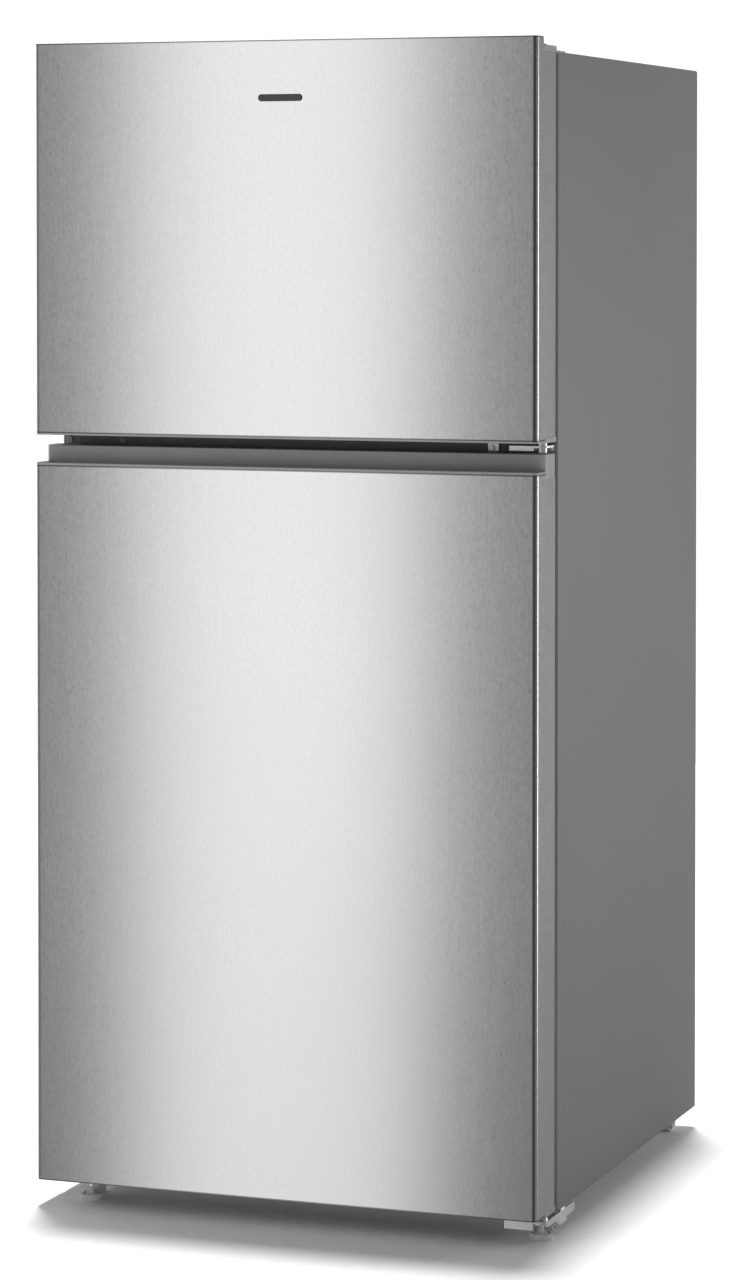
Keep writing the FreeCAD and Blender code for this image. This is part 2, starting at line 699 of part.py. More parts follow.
def fan_blades(radius, hub_radius, hub_length, blade_count, pitch_deg, bore):
    """Axial fan about +Y at the origin: a hub with twisted blades."""
    hub = Part.makeCylinder(hub_radius, hub_length, Vec(0, -hub_length / 2, 0), Y_AXIS)
    hub = hub.makeFillet(2, edges_where(hub, lambda p, e: near(p.y, -hub_length / 2)))
    blades = [hub]
    chord = radius * 0.62
    for i in range(blade_count):
        blade = fan_blade(chord, hub_radius - 2, radius, 1.6)
        blade.rotate(Vec(0, 0, 0), Z_AXIS, pitch_deg)
        blade.rotate(Vec(0, 0, 0), Y_AXIS, i * 360.0 / blade_count)
        blades.append(blade)
    ring_cut = Part.makeCylinder(bore, hub_length + 4, Vec(0, -hub_length / 2 - 2, 0), Y_AXIS)
    return joined(blades).cut(ring_cut)


def fan_blade(chord, inner, outer, thick):
    """Blade outline in X and Z: narrow at its root, broad and rounded at its tip."""
    root, tip = chord * 0.28, chord * 0.5
    points = [Vec(-root, -thick / 2, inner), Vec(root, -thick / 2, inner),
              Vec(tip, -thick / 2, outer), Vec(-tip, -thick / 2, outer)]
    wire = corner_wire(points, [0, 0, chord * 0.3, chord * 0.18])
    return Part.Face(wire).extrude(Vec(0, thick, 0))


def evaporator_fan():
    fan = fan_blades(evaporator_fan_radius, 15.0, 14.0, 5, 28, evaporator_shaft_radius + pin_play)
    fan.translate(Vec(0, at(evaporator_fan_depth), fan_z))
    return fan


def evaporator_coil():
    """Aluminium tube bent to and fro through upright fins, behind the freezer's back wall."""
    x, depth = 250.0, cover_depth + 40.0
    rows, pitch, tube_radius = 6, 26.0, 4.0
    base = mullion_top + 40.0
    points = []
    for row in range(rows):
        z = base + row * pitch
        ends = [Vec(-x, at(depth), z), Vec(x, at(depth), z)]
        points += ends if row % 2 == 0 else ends[::-1]
    coil = tube_along(points, pitch / 2 - 0.05, tube_radius)
    fins = []
    fin_count, margin, reach, overhang, fin = 22, 24.0, 22.0, 12.0, 0.8
    top = base + (rows - 1) * pitch
    for i in range(fin_count):
        x0 = -x + margin + i * 2 * (x - margin) / (fin_count - 1)
        fins.append(box(x0, x0 + fin, depth - reach, depth + reach, base - overhang, top + overhang))
    return joined([coil] + fins)


# ---------------------------------------------------------------- fridge controls
housing_gap = 14.0  # the pod's front to the fridge door's dyke
housing_depth = 120.0
housing_height = 44.0
housing_half = 150.0
housing_front = door_dyke_back + housing_gap
housing_back = housing_front + housing_depth
knob_x, knob_depth = -70.0, housing_front + 42.0
knob_radius = 17.0
knob_stem_radius = 5.0
switch_x, switch_drop = 118.0, 20.0
switch_radius = 4.0
housing_wall = 2.5
lens_x, lens_half, lens_corner = 35.0, 50.0, 8.0
lens_front, lens_back = housing_front + 26.0, housing_back - 22.0
housing_floor = ceiling - housing_height


def control_housing():
    """Ceiling pod that holds the temperature knob, the lamp and the light switch."""
    chin, slope = 8.0, 14.0
    pod = profile_yz([(housing_front, ceiling - clear), (housing_front, housing_floor + chin),
                      (housing_front + slope, housing_floor), (housing_back, housing_floor),
                      (housing_back, ceiling - clear)], [0, 5, 8, 10, 0], -housing_half, housing_half)

    def end_edge(point, edge):
        return near(abs(point.x), housing_half) and point.z < ceiling - 1

    pod = pod.makeFillet(4, edges_where(pod, end_edge))
    wall = housing_wall
    front, back, floor = housing_front + wall, housing_back - wall, housing_floor + wall
    end = housing_half - wall - 2
    hollow = profile_yz([(front, ceiling + 1), (front, floor + chin), (front + slope, floor), (back, floor),
                         (back, ceiling + 1)], [0, 3, 5, 6, 0], -end, end)
    pod = pod.cut(hollow)
    pod = pod.cut(rod(knob_x, knob_depth, housing_floor - 5, knob_stem_radius + pin_play, 12, Z_AXIS))
    pod = pod.cut(rod(switch_x, housing_front - 2, ceiling - switch_drop, switch_radius + clear, 8, Y_AXIS))
    return pod.cut(lens_plate(0, housing_floor - 2, floor + 2))


def lens_plate(grow, z0, z1):
    """Outline of the lamp's window, grown or shrunk."""
    return round_plate_xy(lens_x - lens_half - grow, lens_x + lens_half + grow,
                          lens_front - grow, lens_back + grow, lens_corner + grow, z0, z1)


def light_lens():
    """Frosted lamp cover that drops into the pod's floor."""
    seat = housing_floor + housing_wall
    face = lens_plate(-clear, housing_floor - 1.2, seat)
    rim = lens_plate(4.0, seat, seat + 1.7)
    return joined([face, rim])


def temperature_knob():
    """Round dial with a finger bar, turned from below."""
    low = housing_floor - 14.5
    skirt = rod(knob_x, knob_depth, low, knob_radius, 14, Z_AXIS)
    skirt = skirt.makeFillet(2.5, edges_where(skirt, lambda p, e: near(p.z, low)))
    reach = knob_radius - 2
    bar = round_plate_xy(knob_x - reach, knob_x + reach, knob_depth - 3.2, knob_depth + 3.2, 3,
                         low - 6.5, low + 2.5)
    stem = rod(knob_x, knob_depth, housing_floor - 1, knob_stem_radius, 14, Z_AXIS)
    grooves = ring_of_rods(knob_x, knob_depth, low + 2.5, knob_radius + 0.4, 24, 12)
    return joined([skirt, bar, stem]).cut(grooves)


def ring_of_rods(x, depth, z, radius, count, length):
    """Thin upright rods in a circle, to cut the grooves of a grip."""
    rods = []
    for i in range(count):
        angle = 2 * math.pi * i / count
        across, back = radius * math.cos(angle), radius * math.sin(angle)
        rods.append(rod(x + across, depth + back, z, 1.0, length, Z_AXIS))
    return group(rods)


def light_switch():
    """Plunger that the closed fridge door holds in."""
    tip, z = door_dyke_back + 0.4, ceiling - switch_drop
    stem = rod(switch_x, tip, z, switch_radius, housing_front + 22 - tip, Y_AXIS)
    stem = stem.makeFillet(1.8, edges_where(stem, lambda p, e: near(p.y, at(tip))))
    collar = rod(switch_x, housing_front + 14, z, switch_radius + 2.5, 3, Y_AXIS)
    return joined([stem, collar])


def air_duct():
    """Tower on the fridge's back wall that feeds cold air over the shelves."""
    x, wall = 62.0, 2.0
    back = liner_back - 0.2
    low, high = crisper_shelf_z + 40.0, ceiling - 24.0
    front = shelf_back + 1.5
    shell = round_plate_xz(-x, x, low, high, 10, front, back)
    hollow = round_plate_xz(-x + wall, x - wall, low + wall, high - wall, 8, front + wall, back + 1)
    duct = shell.cut(hollow)
    outlets, margin = 9, 45.0
    for i in range(outlets):
        z = low + margin - 5 + i * (high - low - 2 * margin) / (outlets - 1)
        for side in (-1, 1):
            x0, x1 = sorted((side * 12, side * 48))
            duct = duct.cut(round_plate_xz(x0, x1, z, z + 7, 3.2, front - 1, front + wall + 1))
    return duct


# ---------------------------------------------------------------- doors
def door_steel(z0, z1, low_step, low_z, high_step, high_z, hem_low, hem_high):
    """Folded steel front with side returns. The returns step back behind the given depths."""
    block = box(-half, half, 0, door_depth, z0, z1)

    def upright(point, edge):
        return near(point.y, at(0)) and near(abs(point.x), half)

    block = block.makeFillet(door_edge_radius, edges_where(block, upright))
    inner_radius = door_edge_radius - door_skin
    hollow = box(-half + door_skin, half - door_skin, door_skin, door_depth + 1, z0 - 1, z1 + 1)
    hollow = hollow.makeFillet(inner_radius, edges_where(
        hollow, lambda p, e: near(p.y, at(door_skin)) and near(abs(p.x), half - door_skin)))
    steel = block.cut(hollow)
    steel = steel.cut(box(-half - 1, half + 1, high_step, door_depth + 1, high_z, z1 + 1))
    steel = steel.cut(box(-half - 1, half + 1, low_step, door_depth + 1, z0 - 1, low_z))
    folds = [steel]
    for depth, low, high in ((hem_low, z0, z0 + door_skin), (hem_high, z1 - door_skin, z1)):
        if depth:
            fold = box(-half, half, 0, depth, low, high)
            folds.append(fold.makeFillet(door_edge_radius, edges_where(fold, upright)))
    return joined(folds)


def pin_hole(z0, z1, radius):
    return Part.makeCylinder(radius, z1 - z0, Vec(hinge_x, hinge_y, z0), Z_AXIS)


def rounded_upright(block, depth, x, radius):
    """Round a block's two upright edges at this depth and this half width."""
    def wanted(point, edge):
        return near(point.y, at(depth)) and near(abs(point.x), x)

    return block.makeFillet(radius, edges_where(block, wanted))


def cap_slab(d0, z0, z1):
    """Full-width plate at the back of a cap, flush with the steel's sides."""
    return rounded_upright(box(-half, half, d0, cap_depth, z0, z1), cap_depth, half, cap_rear_radius)


def inside_x():
    """Half width of what fits between a door's steel sides."""
    return half - door_skin - side_fit


def cap_block(back, z0, z1):
    """Solid that fits inside the steel, from its front down to a given depth."""
    x, front = inside_x(), cap_front
    return rounded_upright(box(-x, x, front, back, z0, z1), front, x, cap_corner)


def cap_lip(back, z0, z1):
    """Front of a cap that shows beyond the steel's end, flush with it."""
    return rounded_upright(box(-half, half, lip_setback, back, z0, z1), lip_setback, half, door_edge_radius)


def freezer_door_top_cap():
    """Level top with a ridge behind the folded steel, and the top hinge's hole."""
    x, top, front = inside_x(), freezer_door_top, cap_front
    under = top - door_skin - side_fit
    level, low = freezer_cap_level, freezer_high_z - cap_inner_depth
    back = door_depth - liner_inset
    groove, ridge_front, ridge_back = freezer_hem, freezer_hem + 9, freezer_hem + 17
    outline = [(front, low), (back, low), (back, level), (ridge_back, level), (ridge_back, top),
               (ridge_front, top), (ridge_front, level - 1), (groove, level - 1), (groove, under),
               (front, under)]
    core = profile_yz(outline, [0, 0, 0, 2, 3, 3, 1, 1, 0, 0], -x, x)
    core = rounded_upright(core, front, x, cap_corner)
    slab = cap_slab(freezer_high_step, freezer_high_z + cap_gap, level)
    return joined([core, slab]).cut(pin_hole(level - pin_hole_depth, level + 1, pin_radius + pin_play))


def pocket_cap_top():
    """Top cap of the fridge door: a trough behind the lip is the handle, with a block behind it."""
    core = cap_block(door_depth - liner_inset, pocket_floor - pocket_wall, fridge_door_top - 1)
    lip = cap_lip(fridge_high_step, fridge_door_top + side_fit, pocket_lip_top)
    lip_back = at(fridge_high_step - 1)
    lip = lip.makeFillet(1.6, edges_where(lip, lambda p, e: near(p.z, pocket_lip_top) and p.y < lip_back))
    neck = cap_block(fridge_high_step, fridge_door_top - 2, fridge_door_top + 1)
    block_back = door_depth - door_liner_wall - clear
    block = plate_xy(rect(-half, half, pocket_back, block_back), [12, 12, 2, 2],
                     fridge_high_z + cap_gap, fridge_cap_top)
    block = block.makeFillet(1.5, edges_where(block, lambda p, e: near(p.z, fridge_cap_top)))
    whole = joined([core, lip, neck, block]).cut(pocket_trough(pocket_floor, fridge_cap_top + 5))
    return whole.cut(pin_hole(fridge_cap_top - pin_hole_depth - 4, fridge_cap_top + 1, pin_radius + pin_play))


def pocket_trough(bottom, mouth):
    """Finger trough across a cap, rounded at its bottom, open at its mouth."""
    x = half - pocket_end_wall
    outline = [(pocket_front, mouth), (pocket_front, bottom), (pocket_back, bottom), (pocket_back, mouth)]
    return profile_yz(outline, [0, 10, 12, 0], -x, x)


def pocket_cap_bottom():
    """Bottom cap of the freezer door: its recess lets fingers in behind the steel."""
    core = cap_block(door_depth - liner_inset, freezer_door_bottom + cap_gap,
                     pocket_roof + freezer_pocket_wall)
    lip = cap_lip(freezer_low_step, freezer_cap_bottom + 1.0, freezer_door_bottom - side_fit)
    neck = cap_block(freezer_low_step, freezer_door_bottom - 1, freezer_door_bottom + 1)
    slab = cap_slab(pocket_back, freezer_cap_bottom, freezer_low_z - cap_gap)
    slab = slab.cut(box(-half - 1, half + 1, pocket_back - 1, freezer_low_step + side_fit,
                        freezer_door_bottom - side_fit, freezer_low_z))
    whole = joined([core, lip, neck, slab]).cut(pocket_trough(pocket_roof, freezer_cap_bottom - 5))
    return whole.cut(pin_hole(freezer_cap_bottom - 1, freezer_cap_bottom + pin_hole_depth,
                              pin_radius + pin_play))


def fridge_door_bottom_cap():
    low, high = fridge_door_bottom + door_skin + side_fit, fridge_low_z + cap_inner_depth
    core = cap_block(door_depth - liner_inset, low, high)
    slab = cap_slab(fridge_low_step + cap_gap, fridge_cap_bottom, fridge_low_z - cap_gap)
    whole = joined([core, slab])
    return whole.cut(pin_hole(fridge_cap_bottom - 1, fridge_cap_bottom + 22, hollow_pin_radius + pin_play))


def door_liner(z0, z1, dyke_low, dyke_high, lug_heights):
    """Inner skin of a door: a flat border and a raised, hollow dyke that the bins hang on."""
    x = inside_x()
    wall = door_liner_wall
    back = door_depth
    face = box(-x, x, back - wall, back, z0, z1)
    dyke_x = cavity_x - dyke_inset
    ridge = frame_xz(dyke_x, dyke_low, dyke_high, dyke_radius, dyke_width, back - 0.5, back + dyke_height)
    ridge = ridge.makeFillet(5, edges_where(ridge, lambda p, e: near(p.y, at(back + dyke_height))))
    channel = frame_xz(dyke_x - wall, dyke_low + wall, dyke_high - wall, dyke_radius - wall,
                       dyke_width - 2 * wall, back - wall - 1, back + dyke_height - wall)
    channel_end = at(back + dyke_height - wall)
    channel = channel.makeFillet(3, edges_where(channel, lambda p, e: near(p.y, channel_end)))
    whole = joined([face, ridge]).cut(channel)
    lugs = []
    for z in lug_heights:
        for side in (-1, 1):
            x0, x1 = sorted((side * (dyke_x - dyke_width + 1 - lug_width), side * (dyke_x - dyke_width + 1)))
            lugs.append(round_plate_xz(x0, x1, z, z + lug_height, 2.0, back - 0.2, back + dyke_height - 8))
    return joined([whole] + lugs)


def door_foam(low, high, dyke_low, dyke_high):
    """Foam core between the steel and the inner skin, with the ridges that fill the dyke."""
    x = inside_x() - cap_gap
    front, back = door_skin + cap_gap, door_depth - door_liner_wall - side_fit
    core = rounded_upright(box(-x, x, front, back, low, high), front, x, door_edge_radius - door_skin - 0.6)
    inset = door_liner_wall + 0.3
    dyke_x = cavity_x - dyke_inset
    ridge = frame_xz(dyke_x - inset, dyke_low + inset, dyke_high - inset, dyke_radius - inset,
                     dyke_width - 2 * inset, back - 1, door_depth + dyke_height - inset - 3)
    return joined([core, ridge])


def door_gasket(low, high):
    """Magnetic seal: a base, a narrow bellows and a broad magnet strip."""
    x = half - gasket_inset
    base = frame_xz(x, low, high, 10, gasket_width, door_depth, door_depth + 4)
    inset = 4.0
    bellows = frame_xz(x - inset, low + inset, high - inset, 7, gasket_width - 2 * inset,
                       door_depth + 3.5, door_depth + 8)
    back = door_depth + gasket_thickness
    strip = frame_xz(x - 1, low + 1, high - 1, 9, gasket_width - 2, door_depth + 7.5, back)
    strip = strip.makeFillet(1.6, edges_where(strip, lambda p, e: near(p.y, at(back))))
    return joined([base, bellows, strip])


fridge_dyke = (fridge_floor + liner_wall + dyke_end_gap, mullion_bottom - liner_wall - dyke_end_gap)
freezer_dyke = (mullion_top + liner_wall + dyke_end_gap, freezer_ceiling - dyke_end_gap)
fridge_bins = {
    "fridge_bin_lower": (fridge_floor + 48.0, 104.0),
    "fridge_bin_middle": (lower_shelf_z - 90.0, 92.0),
    "fridge_bin_upper": (upper_shelf_z - 30.0, 80.0),
}
freezer_bins = {
    "freezer_bin_lower": (mullion_top + 48.0, 92.0),
    "freezer_bin_upper": (freezer_shelf_z + 24.0, 92.0),
}


def door_bin(z, height):
    """Bin between the dykes, slotted over their lugs, so that it lifts straight off."""
    x = cavity_x - dyke_inset - dyke_width - bin_end_gap
    back = bin_back
    tub = open_tub(-x, x, back, back + bin_depth, z, z + height, bin_wall, 12.0, 0.9)
    band = bin_band(x, back + bin_depth, z + height)
    body = joined([tub, band])
    for side in (-1, 1):
        x0, x1 = sorted((side * (x - lug_width + 0.5), side * (x + 2)))
        notch_back, notch_top = door_depth + dyke_height - 7, z + lug_inset + lug_height + 1.0
        notch = box(x0, x1, door_depth - 1, notch_back, z - 1, notch_top)
        x0, x1 = sorted((side * (x - lug_width + 0.5 - bin_wall), side * x))
        guard = box(x0, x1, back, notch_back + bin_wall, z, notch_top + bin_wall)
        body = joined([body, guard]).cut(notch)
    return body


def bin_band(x, depth, z):
    """Thicker band along the top of a bin's front wall."""
    bar = round_plate_xy(-x, x, depth - 10, depth + band_reach, 5, z - band_height, z)
    gap = round_plate_xy(-x + bin_wall, x - bin_wall, depth - 12, depth - bin_wall, 3,
                         z - band_height - 4, z + 2)
    return bar.cut(gap)


def door_badge():
    """Plain nameplate bar, blank."""
    z = freezer_door_top - badge_drop
    x, high, thick = badge_half_width, badge_half_height, badge_thickness
    plate = round_plate_xz(-x, x, z - high, z + high, high - 0.1, -thick, 0)
    return plate.makeFillet(0.7, edges_where(plate, lambda p, e: near(p.y, at(-thick))))


# ---------------------------------------------------------------- hinges
top_hinge_screws = [(hinge_x - 48, cabinet_front + 28), (hinge_x - 8, cabinet_front + 28),
                    (hinge_x - 48, cabinet_front + 54)]
hinge_screw_hole = 2.6


def top_hinge():
    """Leaf on the cabinet top that steps up over the door, with a pin down into the top cap."""
    leaf_top = cabinet_top + hinge_plate
    over = freezer_cap_level + 0.8
    left, right = hinge_x - 62, half - 8
    front, back = cabinet_front + 8, cabinet_front + 66
    wing = plate_xy([(left, front), (right, front), (right, back), (left, back)], [3, 3, 10, 10],
                    cabinet_top, leaf_top)
    nose = plate_xy([(hinge_x - 13, hinge_depth - 12), (half - 6, hinge_depth - 12), (half - 6, front + 2),
                     (hinge_x - 44, front + 2)], [9, 6, 0, 0], over, over + hinge_plate)
    riser = box(hinge_x - 42, right, front - 2, front + 2, cabinet_top, over + hinge_plate)
    pin = Part.makeCylinder(pin_radius, pin_length, Vec(hinge_x, hinge_y, over + 1 - pin_length), Z_AXIS)
    rivet = Part.makeCylinder(pin_radius + 2, 1.2, Vec(hinge_x, hinge_y, over + hinge_plate), Z_AXIS)
    hinge = joined([wing, nose, riser, pin, rivet])
    for x, depth in top_hinge_screws:
        hinge = hinge.cut(rod(x, depth, cabinet_top - 1, hinge_screw_hole, hinge_plate + 2, Z_AXIS))
    return hinge


def centre_hinge():
    """Angle plate between the doors, with a pin up into one door and a pin down into the other."""
    low, high = centre_plate_low, centre_plate_high
    left, right, front = hinge_x - 45, half - 5, hinge_depth - 10
    leg_front = cabinet_front - hinge_plate
    plate = plate_xy([(left, front), (right, front), (right, cabinet_front), (left, cabinet_front)],
                     [1, 9, 0, 0], low, high)
    front_lip = box(left, hinge_x - 9, front, front + hinge_plate, high - 7.2, high)
    leg = box(left, right, leg_front, cabinet_front, low - 5, high)

    def upright(radius, z0, z1):
        return Part.makeCylinder(radius, z1 - z0, Vec(hinge_x, hinge_y, z0), Z_AXIS)

    collar, gap = pin_radius + 2.5, 0.4
    pins = [upright(pin_radius, high, high + pin_length), upright(pin_radius, low - pin_length - 3, low),
            upright(collar, high, freezer_cap_bottom - gap), upright(collar, fridge_cap_top + gap, low)]
    hinge = joined([plate, front_lip, leg] + pins)
    x = half - stop_side
    tab = box(x - 6, x + 10, leg_front, cabinet_front, stop_z - 4.4, stop_z + 6.4)
    tab = tab.cut(rod(x, cabinet_front - 4, stop_z, stop_hole_radius, 6, Y_AXIS))
    return group([hinge, tab])


def bottom_hinge():
    """Floor bracket on the right: carries the lower hinge pin, the right foot's nut and a roller."""
    top, low = bracket_top, bracket_top - bracket_plate
    left, right = half - 61, half - 0.2
    front, back = hinge_depth - 23, cabinet_front + 49
    plate = plate_xy([(left, front), (right, front), (right, back), (left, back)], [2, 8, 0, 6], low, top)
    window = box(half - 36, right - bracket_plate - 0.4, cabinet_front - 8, cabinet_front + 24,
                 low - 1, top + 1)
    front_flange = box(left, half - 19, front, front + bracket_plate, 16, top)
    nose, heel = front + 7, back + 35
    cheek = profile_yz([(nose, top), (nose, 20.5), (nose + 40, 20), (nose + 60, 10), (back - 3, 10),
                        (back - 3, 16), (heel, 16), (heel, top)], [0, 2, 6, 4, 3, 1, 3, 3],
                       right - bracket_plate, right)
    inner_x = half - 37
    inner_cheek = profile_yz([(cabinet_front - 8, top), (cabinet_front - 4, 8), (cabinet_front + 22, 8),
                              (cabinet_front + 26, top)], [0, 4, 4, 0], inner_x - bracket_plate, inner_x)
    spacer = box(left + 1, right - bracket_plate, cabinet_front + 27, back - 2, top - 0.5, cabinet_bottom)
    pin_base = hollow_pin_radius + 3
    pin = rod(hinge_x, hinge_depth, low, hollow_pin_radius, 27, Z_AXIS)
    shoulder = rod(hinge_x, hinge_depth, top, pin_base, fridge_cap_bottom - 0.5 - top, Z_AXIS)
    nut = rod(hinge_x, hinge_depth, low - nut_height, pin_base, nut_height, Z_AXIS)
    bore = rod(hinge_x, hinge_depth, low - nut_height - 1, stud_radius + pin_play, 28, Z_AXIS)
    whole = joined([plate.cut(window), front_flange, cheek, inner_cheek, spacer, pin, shoulder, nut])
    whole = whole.cut(bore)
    return whole.cut(rod(left + 1, roller_depth, roller_z, axle_radius + pin_play, 70, X_AXIS))


def left_foot_bracket():
    """Floor bracket on the left: a channel for the roller and a nose with the foot's nut."""
    top, low = bracket_top, bracket_top - bracket_plate
    x, front, back = left_foot_x, hinge_depth - 13, cabinet_front + 53
    plate = plate_xy([(x - 14, front), (x + 14, front), (x + 16, back), (x - 14, back)], [10, 10, 4, 4],
                     low, top)
    window = box(x - 10.5, x + 12.5, cabinet_front - 6, cabinet_front + 24, low - 1, top + 1)
    cheeks = []
    for x0 in (x - 11 - bracket_plate, x + 12):
        outline = [(cabinet_front - 10, top), (cabinet_front - 8, 7),
                   (cabinet_front + 22, 7), (cabinet_front + 30, top)]
        cheeks.append(profile_yz(outline, [0, 4, 4, 0], x0, x0 + bracket_plate))
    spacer = box(x - 13, x + 14, cabinet_front + 30, back - 2, top - 0.5, cabinet_bottom)
    nut = rod(x, hinge_depth, low - nut_height, 8, nut_height + bracket_plate, Z_AXIS)
    whole = joined([plate.cut(window)] + cheeks + [spacer, nut])
    whole = whole.cut(rod(x, hinge_depth, low - nut_height - 1, stud_radius + pin_play, 20, Z_AXIS))
    return whole.cut(rod(x - 30, roller_depth, roller_z, axle_radius + pin_play, 60, X_AXIS))


def levelling_foot(x, stud_top):
    """Knurled foot on a stud: turned by hand to set the height."""
    pad = rod(x, hinge_depth, 0, foot_radius, foot_height, Z_AXIS)
    pad = pad.makeChamfer(1.2, edges_where(pad, lambda p, e: near(p.z, 0)))
    dish = rod(x, hinge_depth, foot_height - 2.5, foot_radius - 3, 3, Z_AXIS)
    boss = rod(x, hinge_depth, foot_height - 3, 9, 3.5, Z_AXIS)
    stud = rod(x, hinge_depth, 2, stud_radius, stud_top - 2, Z_AXIS)
    grooves = ring_of_rods(x, hinge_depth, 2.4, foot_radius + 0.35, 28, foot_height)
    return joined([pad.cut(dish), boss, stud]).cut(grooves)


def roller(x0, depth, z, radius, length):
    """Wheel about X with a bored hub and rounded tyre edges."""
    wheel = rod(x0, depth, z, radius, length, X_AXIS)
    wheel = wheel.makeFillet(1.5, list(wheel.Edges[:1]) + list(wheel.Edges[2:3]))
    recess, tyre, hub = 4.0, 3.0, axle_radius + 3.0
    for start in (x0 - 1, x0 + length - recess):
        ring = rod(start, depth, z, radius - tyre, recess + 1, X_AXIS)
        ring = ring.cut(rod(start - 1, depth, z, hub, recess + 3, X_AXIS))
        ribs = []
        for i in range(3):
            rib = Part.makeBox(recess + 3, 2 * radius, 1.8, Vec(start - 1, at(depth) - radius, z - 0.9))
            rib.rotate(Vec(start, at(depth), z), X_AXIS, i * 60)
            ribs.append(rib)
        wheel = wheel.cut(ring.cut(group(ribs)))
    return wheel.cut(rod(x0 - 1, depth, z, axle_radius + pin_play, length + 2, X_AXIS))


# ---------------------------------------------------------------- machine compartment
def machine_tray():
    """Steel tray across the back that carries the compressor, the fan, the pan and the rear rollers."""
    x = half - sheet - 0.4
    base = box(-x, x, tray_front, tray_back, tray_height, tray_floor)
    front_wall = box(-x, x, tray_front, tray_front + tray_sheet, tray_height, tray_height + 16)
    back_wall = box(-x, x, tray_back - tray_sheet, tray_back, tray_height, tray_height + 10)
    pieces = [base, front_wall, back_wall]
    top, low, gap = tray_height + 0.5, 7.0, 1.0
    fork = [(rear_roller_depth - 20, top), (rear_roller_depth - 9, low),
            (rear_roller_depth + 9, low), (rear_roller_depth + 20, top)]
    for side_x in rear_roller_sides:
        for offset in (-roller_width / 2 - gap - bracket_plate, roller_width / 2 + gap):
            pieces.append(profile_yz(fork, [0, 5, 5, 0], side_x + offset, side_x + offset + bracket_plate))
    tray = joined(pieces)
    for side_x in rear_roller_sides:
        tray = tray.cut(rod(side_x - 20, rear_roller_depth, rear_roller_radius, axle_radius + pin_play,
                            40, X_AXIS))
    return tray


def compressor():
    """Hermetic compressor on its foot plate and rubber grommets, with its terminal cover and stubs."""
    x, depth, plate_z = compressor_x, compressor_depth, tray_floor + grommet_height
    foot_x, foot_d, foot_margin, can_low = 78.0, 46.0, 14.0, plate_z + 6
    can_top = can_low + compressor_height
    can = rod(x, depth, can_low, compressor_radius, compressor_height, Z_AXIS)
    can = can.makeFillet(28, edges_where(can, lambda p, e: near(p.z, can_top)))
    can = can.makeFillet(14, edges_where(can, lambda p, e: near(p.z, can_low)))
    seam = rod(x, depth, plate_z + 72, compressor_radius + 3.5, 5, Z_AXIS)
    reach_x, reach_d = foot_x + foot_margin, foot_d + foot_margin
    pad = round_plate_xy(x - reach_x, x + reach_x, depth - reach_d, depth + reach_d, foot_margin,
                         plate_z, plate_z + 3)
    post = rod(x, depth, plate_z + 2, 40, 12, Z_AXIS)
    stub_low = can_top - 24
    stubs = [rod(suction_x, suction_depth, stub_low, 4.5, stub_top - stub_low, Z_AXIS),
             rod(discharge_x, discharge_depth, stub_low, 3.5, stub_top - 4 - stub_low, Z_AXIS)]
    body = joined([can, seam, pad, post] + stubs)
    cover_front = depth + compressor_radius + 2
    cover = round_plate_xz(x - 26, x + 26, plate_z + 40, plate_z + 86, 5, cover_front, cover_front + 24)
    grommets = []
    for side_x in (-foot_x, foot_x):
        for side_d in (-foot_d, foot_d):
            grommets.append(rod(x + side_x, depth + side_d, tray_floor, 11, grommet_height, Z_AXIS))
    return group([body, cover] + grommets)


def condenser_fan_housing():
    """Shroud plate with a round throat, and the motor on three arms."""
    x, z = fan_x, condenser_fan_z
    hole_radius = condenser_fan_radius + 5
    throat_half, motor_length = 14.0, 34.0

    def along_x(x0, radius, length):
        return rod(x0, fan_depth, z, radius, length, X_AXIS)

    plate = box(x - 2, x + 2, fan_depth - 84, fan_depth + 84, tray_floor, z + 88)
    throat = along_x(x - throat_half, hole_radius + 3, 2 * throat_half)
    hole = along_x(x - throat_half - 6, hole_radius, 2 * throat_half + 12)
    motor = along_x(x + throat_half, 26, motor_length)
    motor = motor.makeFillet(4, edges_where(motor, lambda p, e: near(p.x, x + throat_half + motor_length)))
    shaft = along_x(x - 8, condenser_shaft_radius, 24)
    hub = along_x(x + throat_half - 4, 24, 6)
    arms = []
    for i in range(3):
        arm = Part.makeBox(4, hole_radius + 2, 8, Vec(x + throat_half - 4, at(fan_depth), z - 4))
        arm.rotate(Vec(x, at(fan_depth), z), X_AXIS, 90 + i * 120)
        arms.append(arm)
    return joined([joined([plate, throat]).cut(hole), motor, shaft, hub] + arms)


def condenser_fan():
    fan = fan_blades(condenser_fan_radius, 18.0, 16.0, 5, 30, condenser_shaft_radius + pin_play)
    fan.rotate(Vec(0, 0, 0), Z_AXIS, 90)
    fan.translate(Vec(fan_x - 2, at(fan_depth), condenser_fan_z))
    return fan


def condenser_coil():
    """Steel tube wound to and fro in three banks, and the copper lines that leave the compressor."""
    banks = []
    rows, pitch, tube_radius = 6, 24.0, 3.2
    low, left, right = 108.0, -300.0, fan_x - 46
    top = low + (rows - 1) * pitch
    for depth in (fan_depth - 44, fan_depth + 4, fan_depth + 52):
        points = []
        for row in range(rows):
            z = low + row * pitch
            ends = [Vec(left, at(depth), z), Vec(right, at(depth), z)]
            points += ends if row % 2 == 0 else ends[::-1]
        banks.append(tube_along(points, pitch / 2 - 0.05, tube_radius))
    fins = []
    fin_count, margin, fin = 26, 14.0, 0.8
    for i in range(fin_count):
        x0 = left + margin + i * (right - left - 2 * margin) / (fin_count - 1)
        fins.append(box(x0, x0 + fin, fan_depth - 58, fan_depth + 66, low - 10, top + 8))
    coil = joined(banks + fins)
    return group([coil, pipe(suction_x, suction_depth, stub_top, 28, tray_front + 30, 100, 12, 4.0),
                  pipe(discharge_x, discharge_depth, stub_top - 4, 26, compressor_depth + 60, 86, 10, 2.6)])


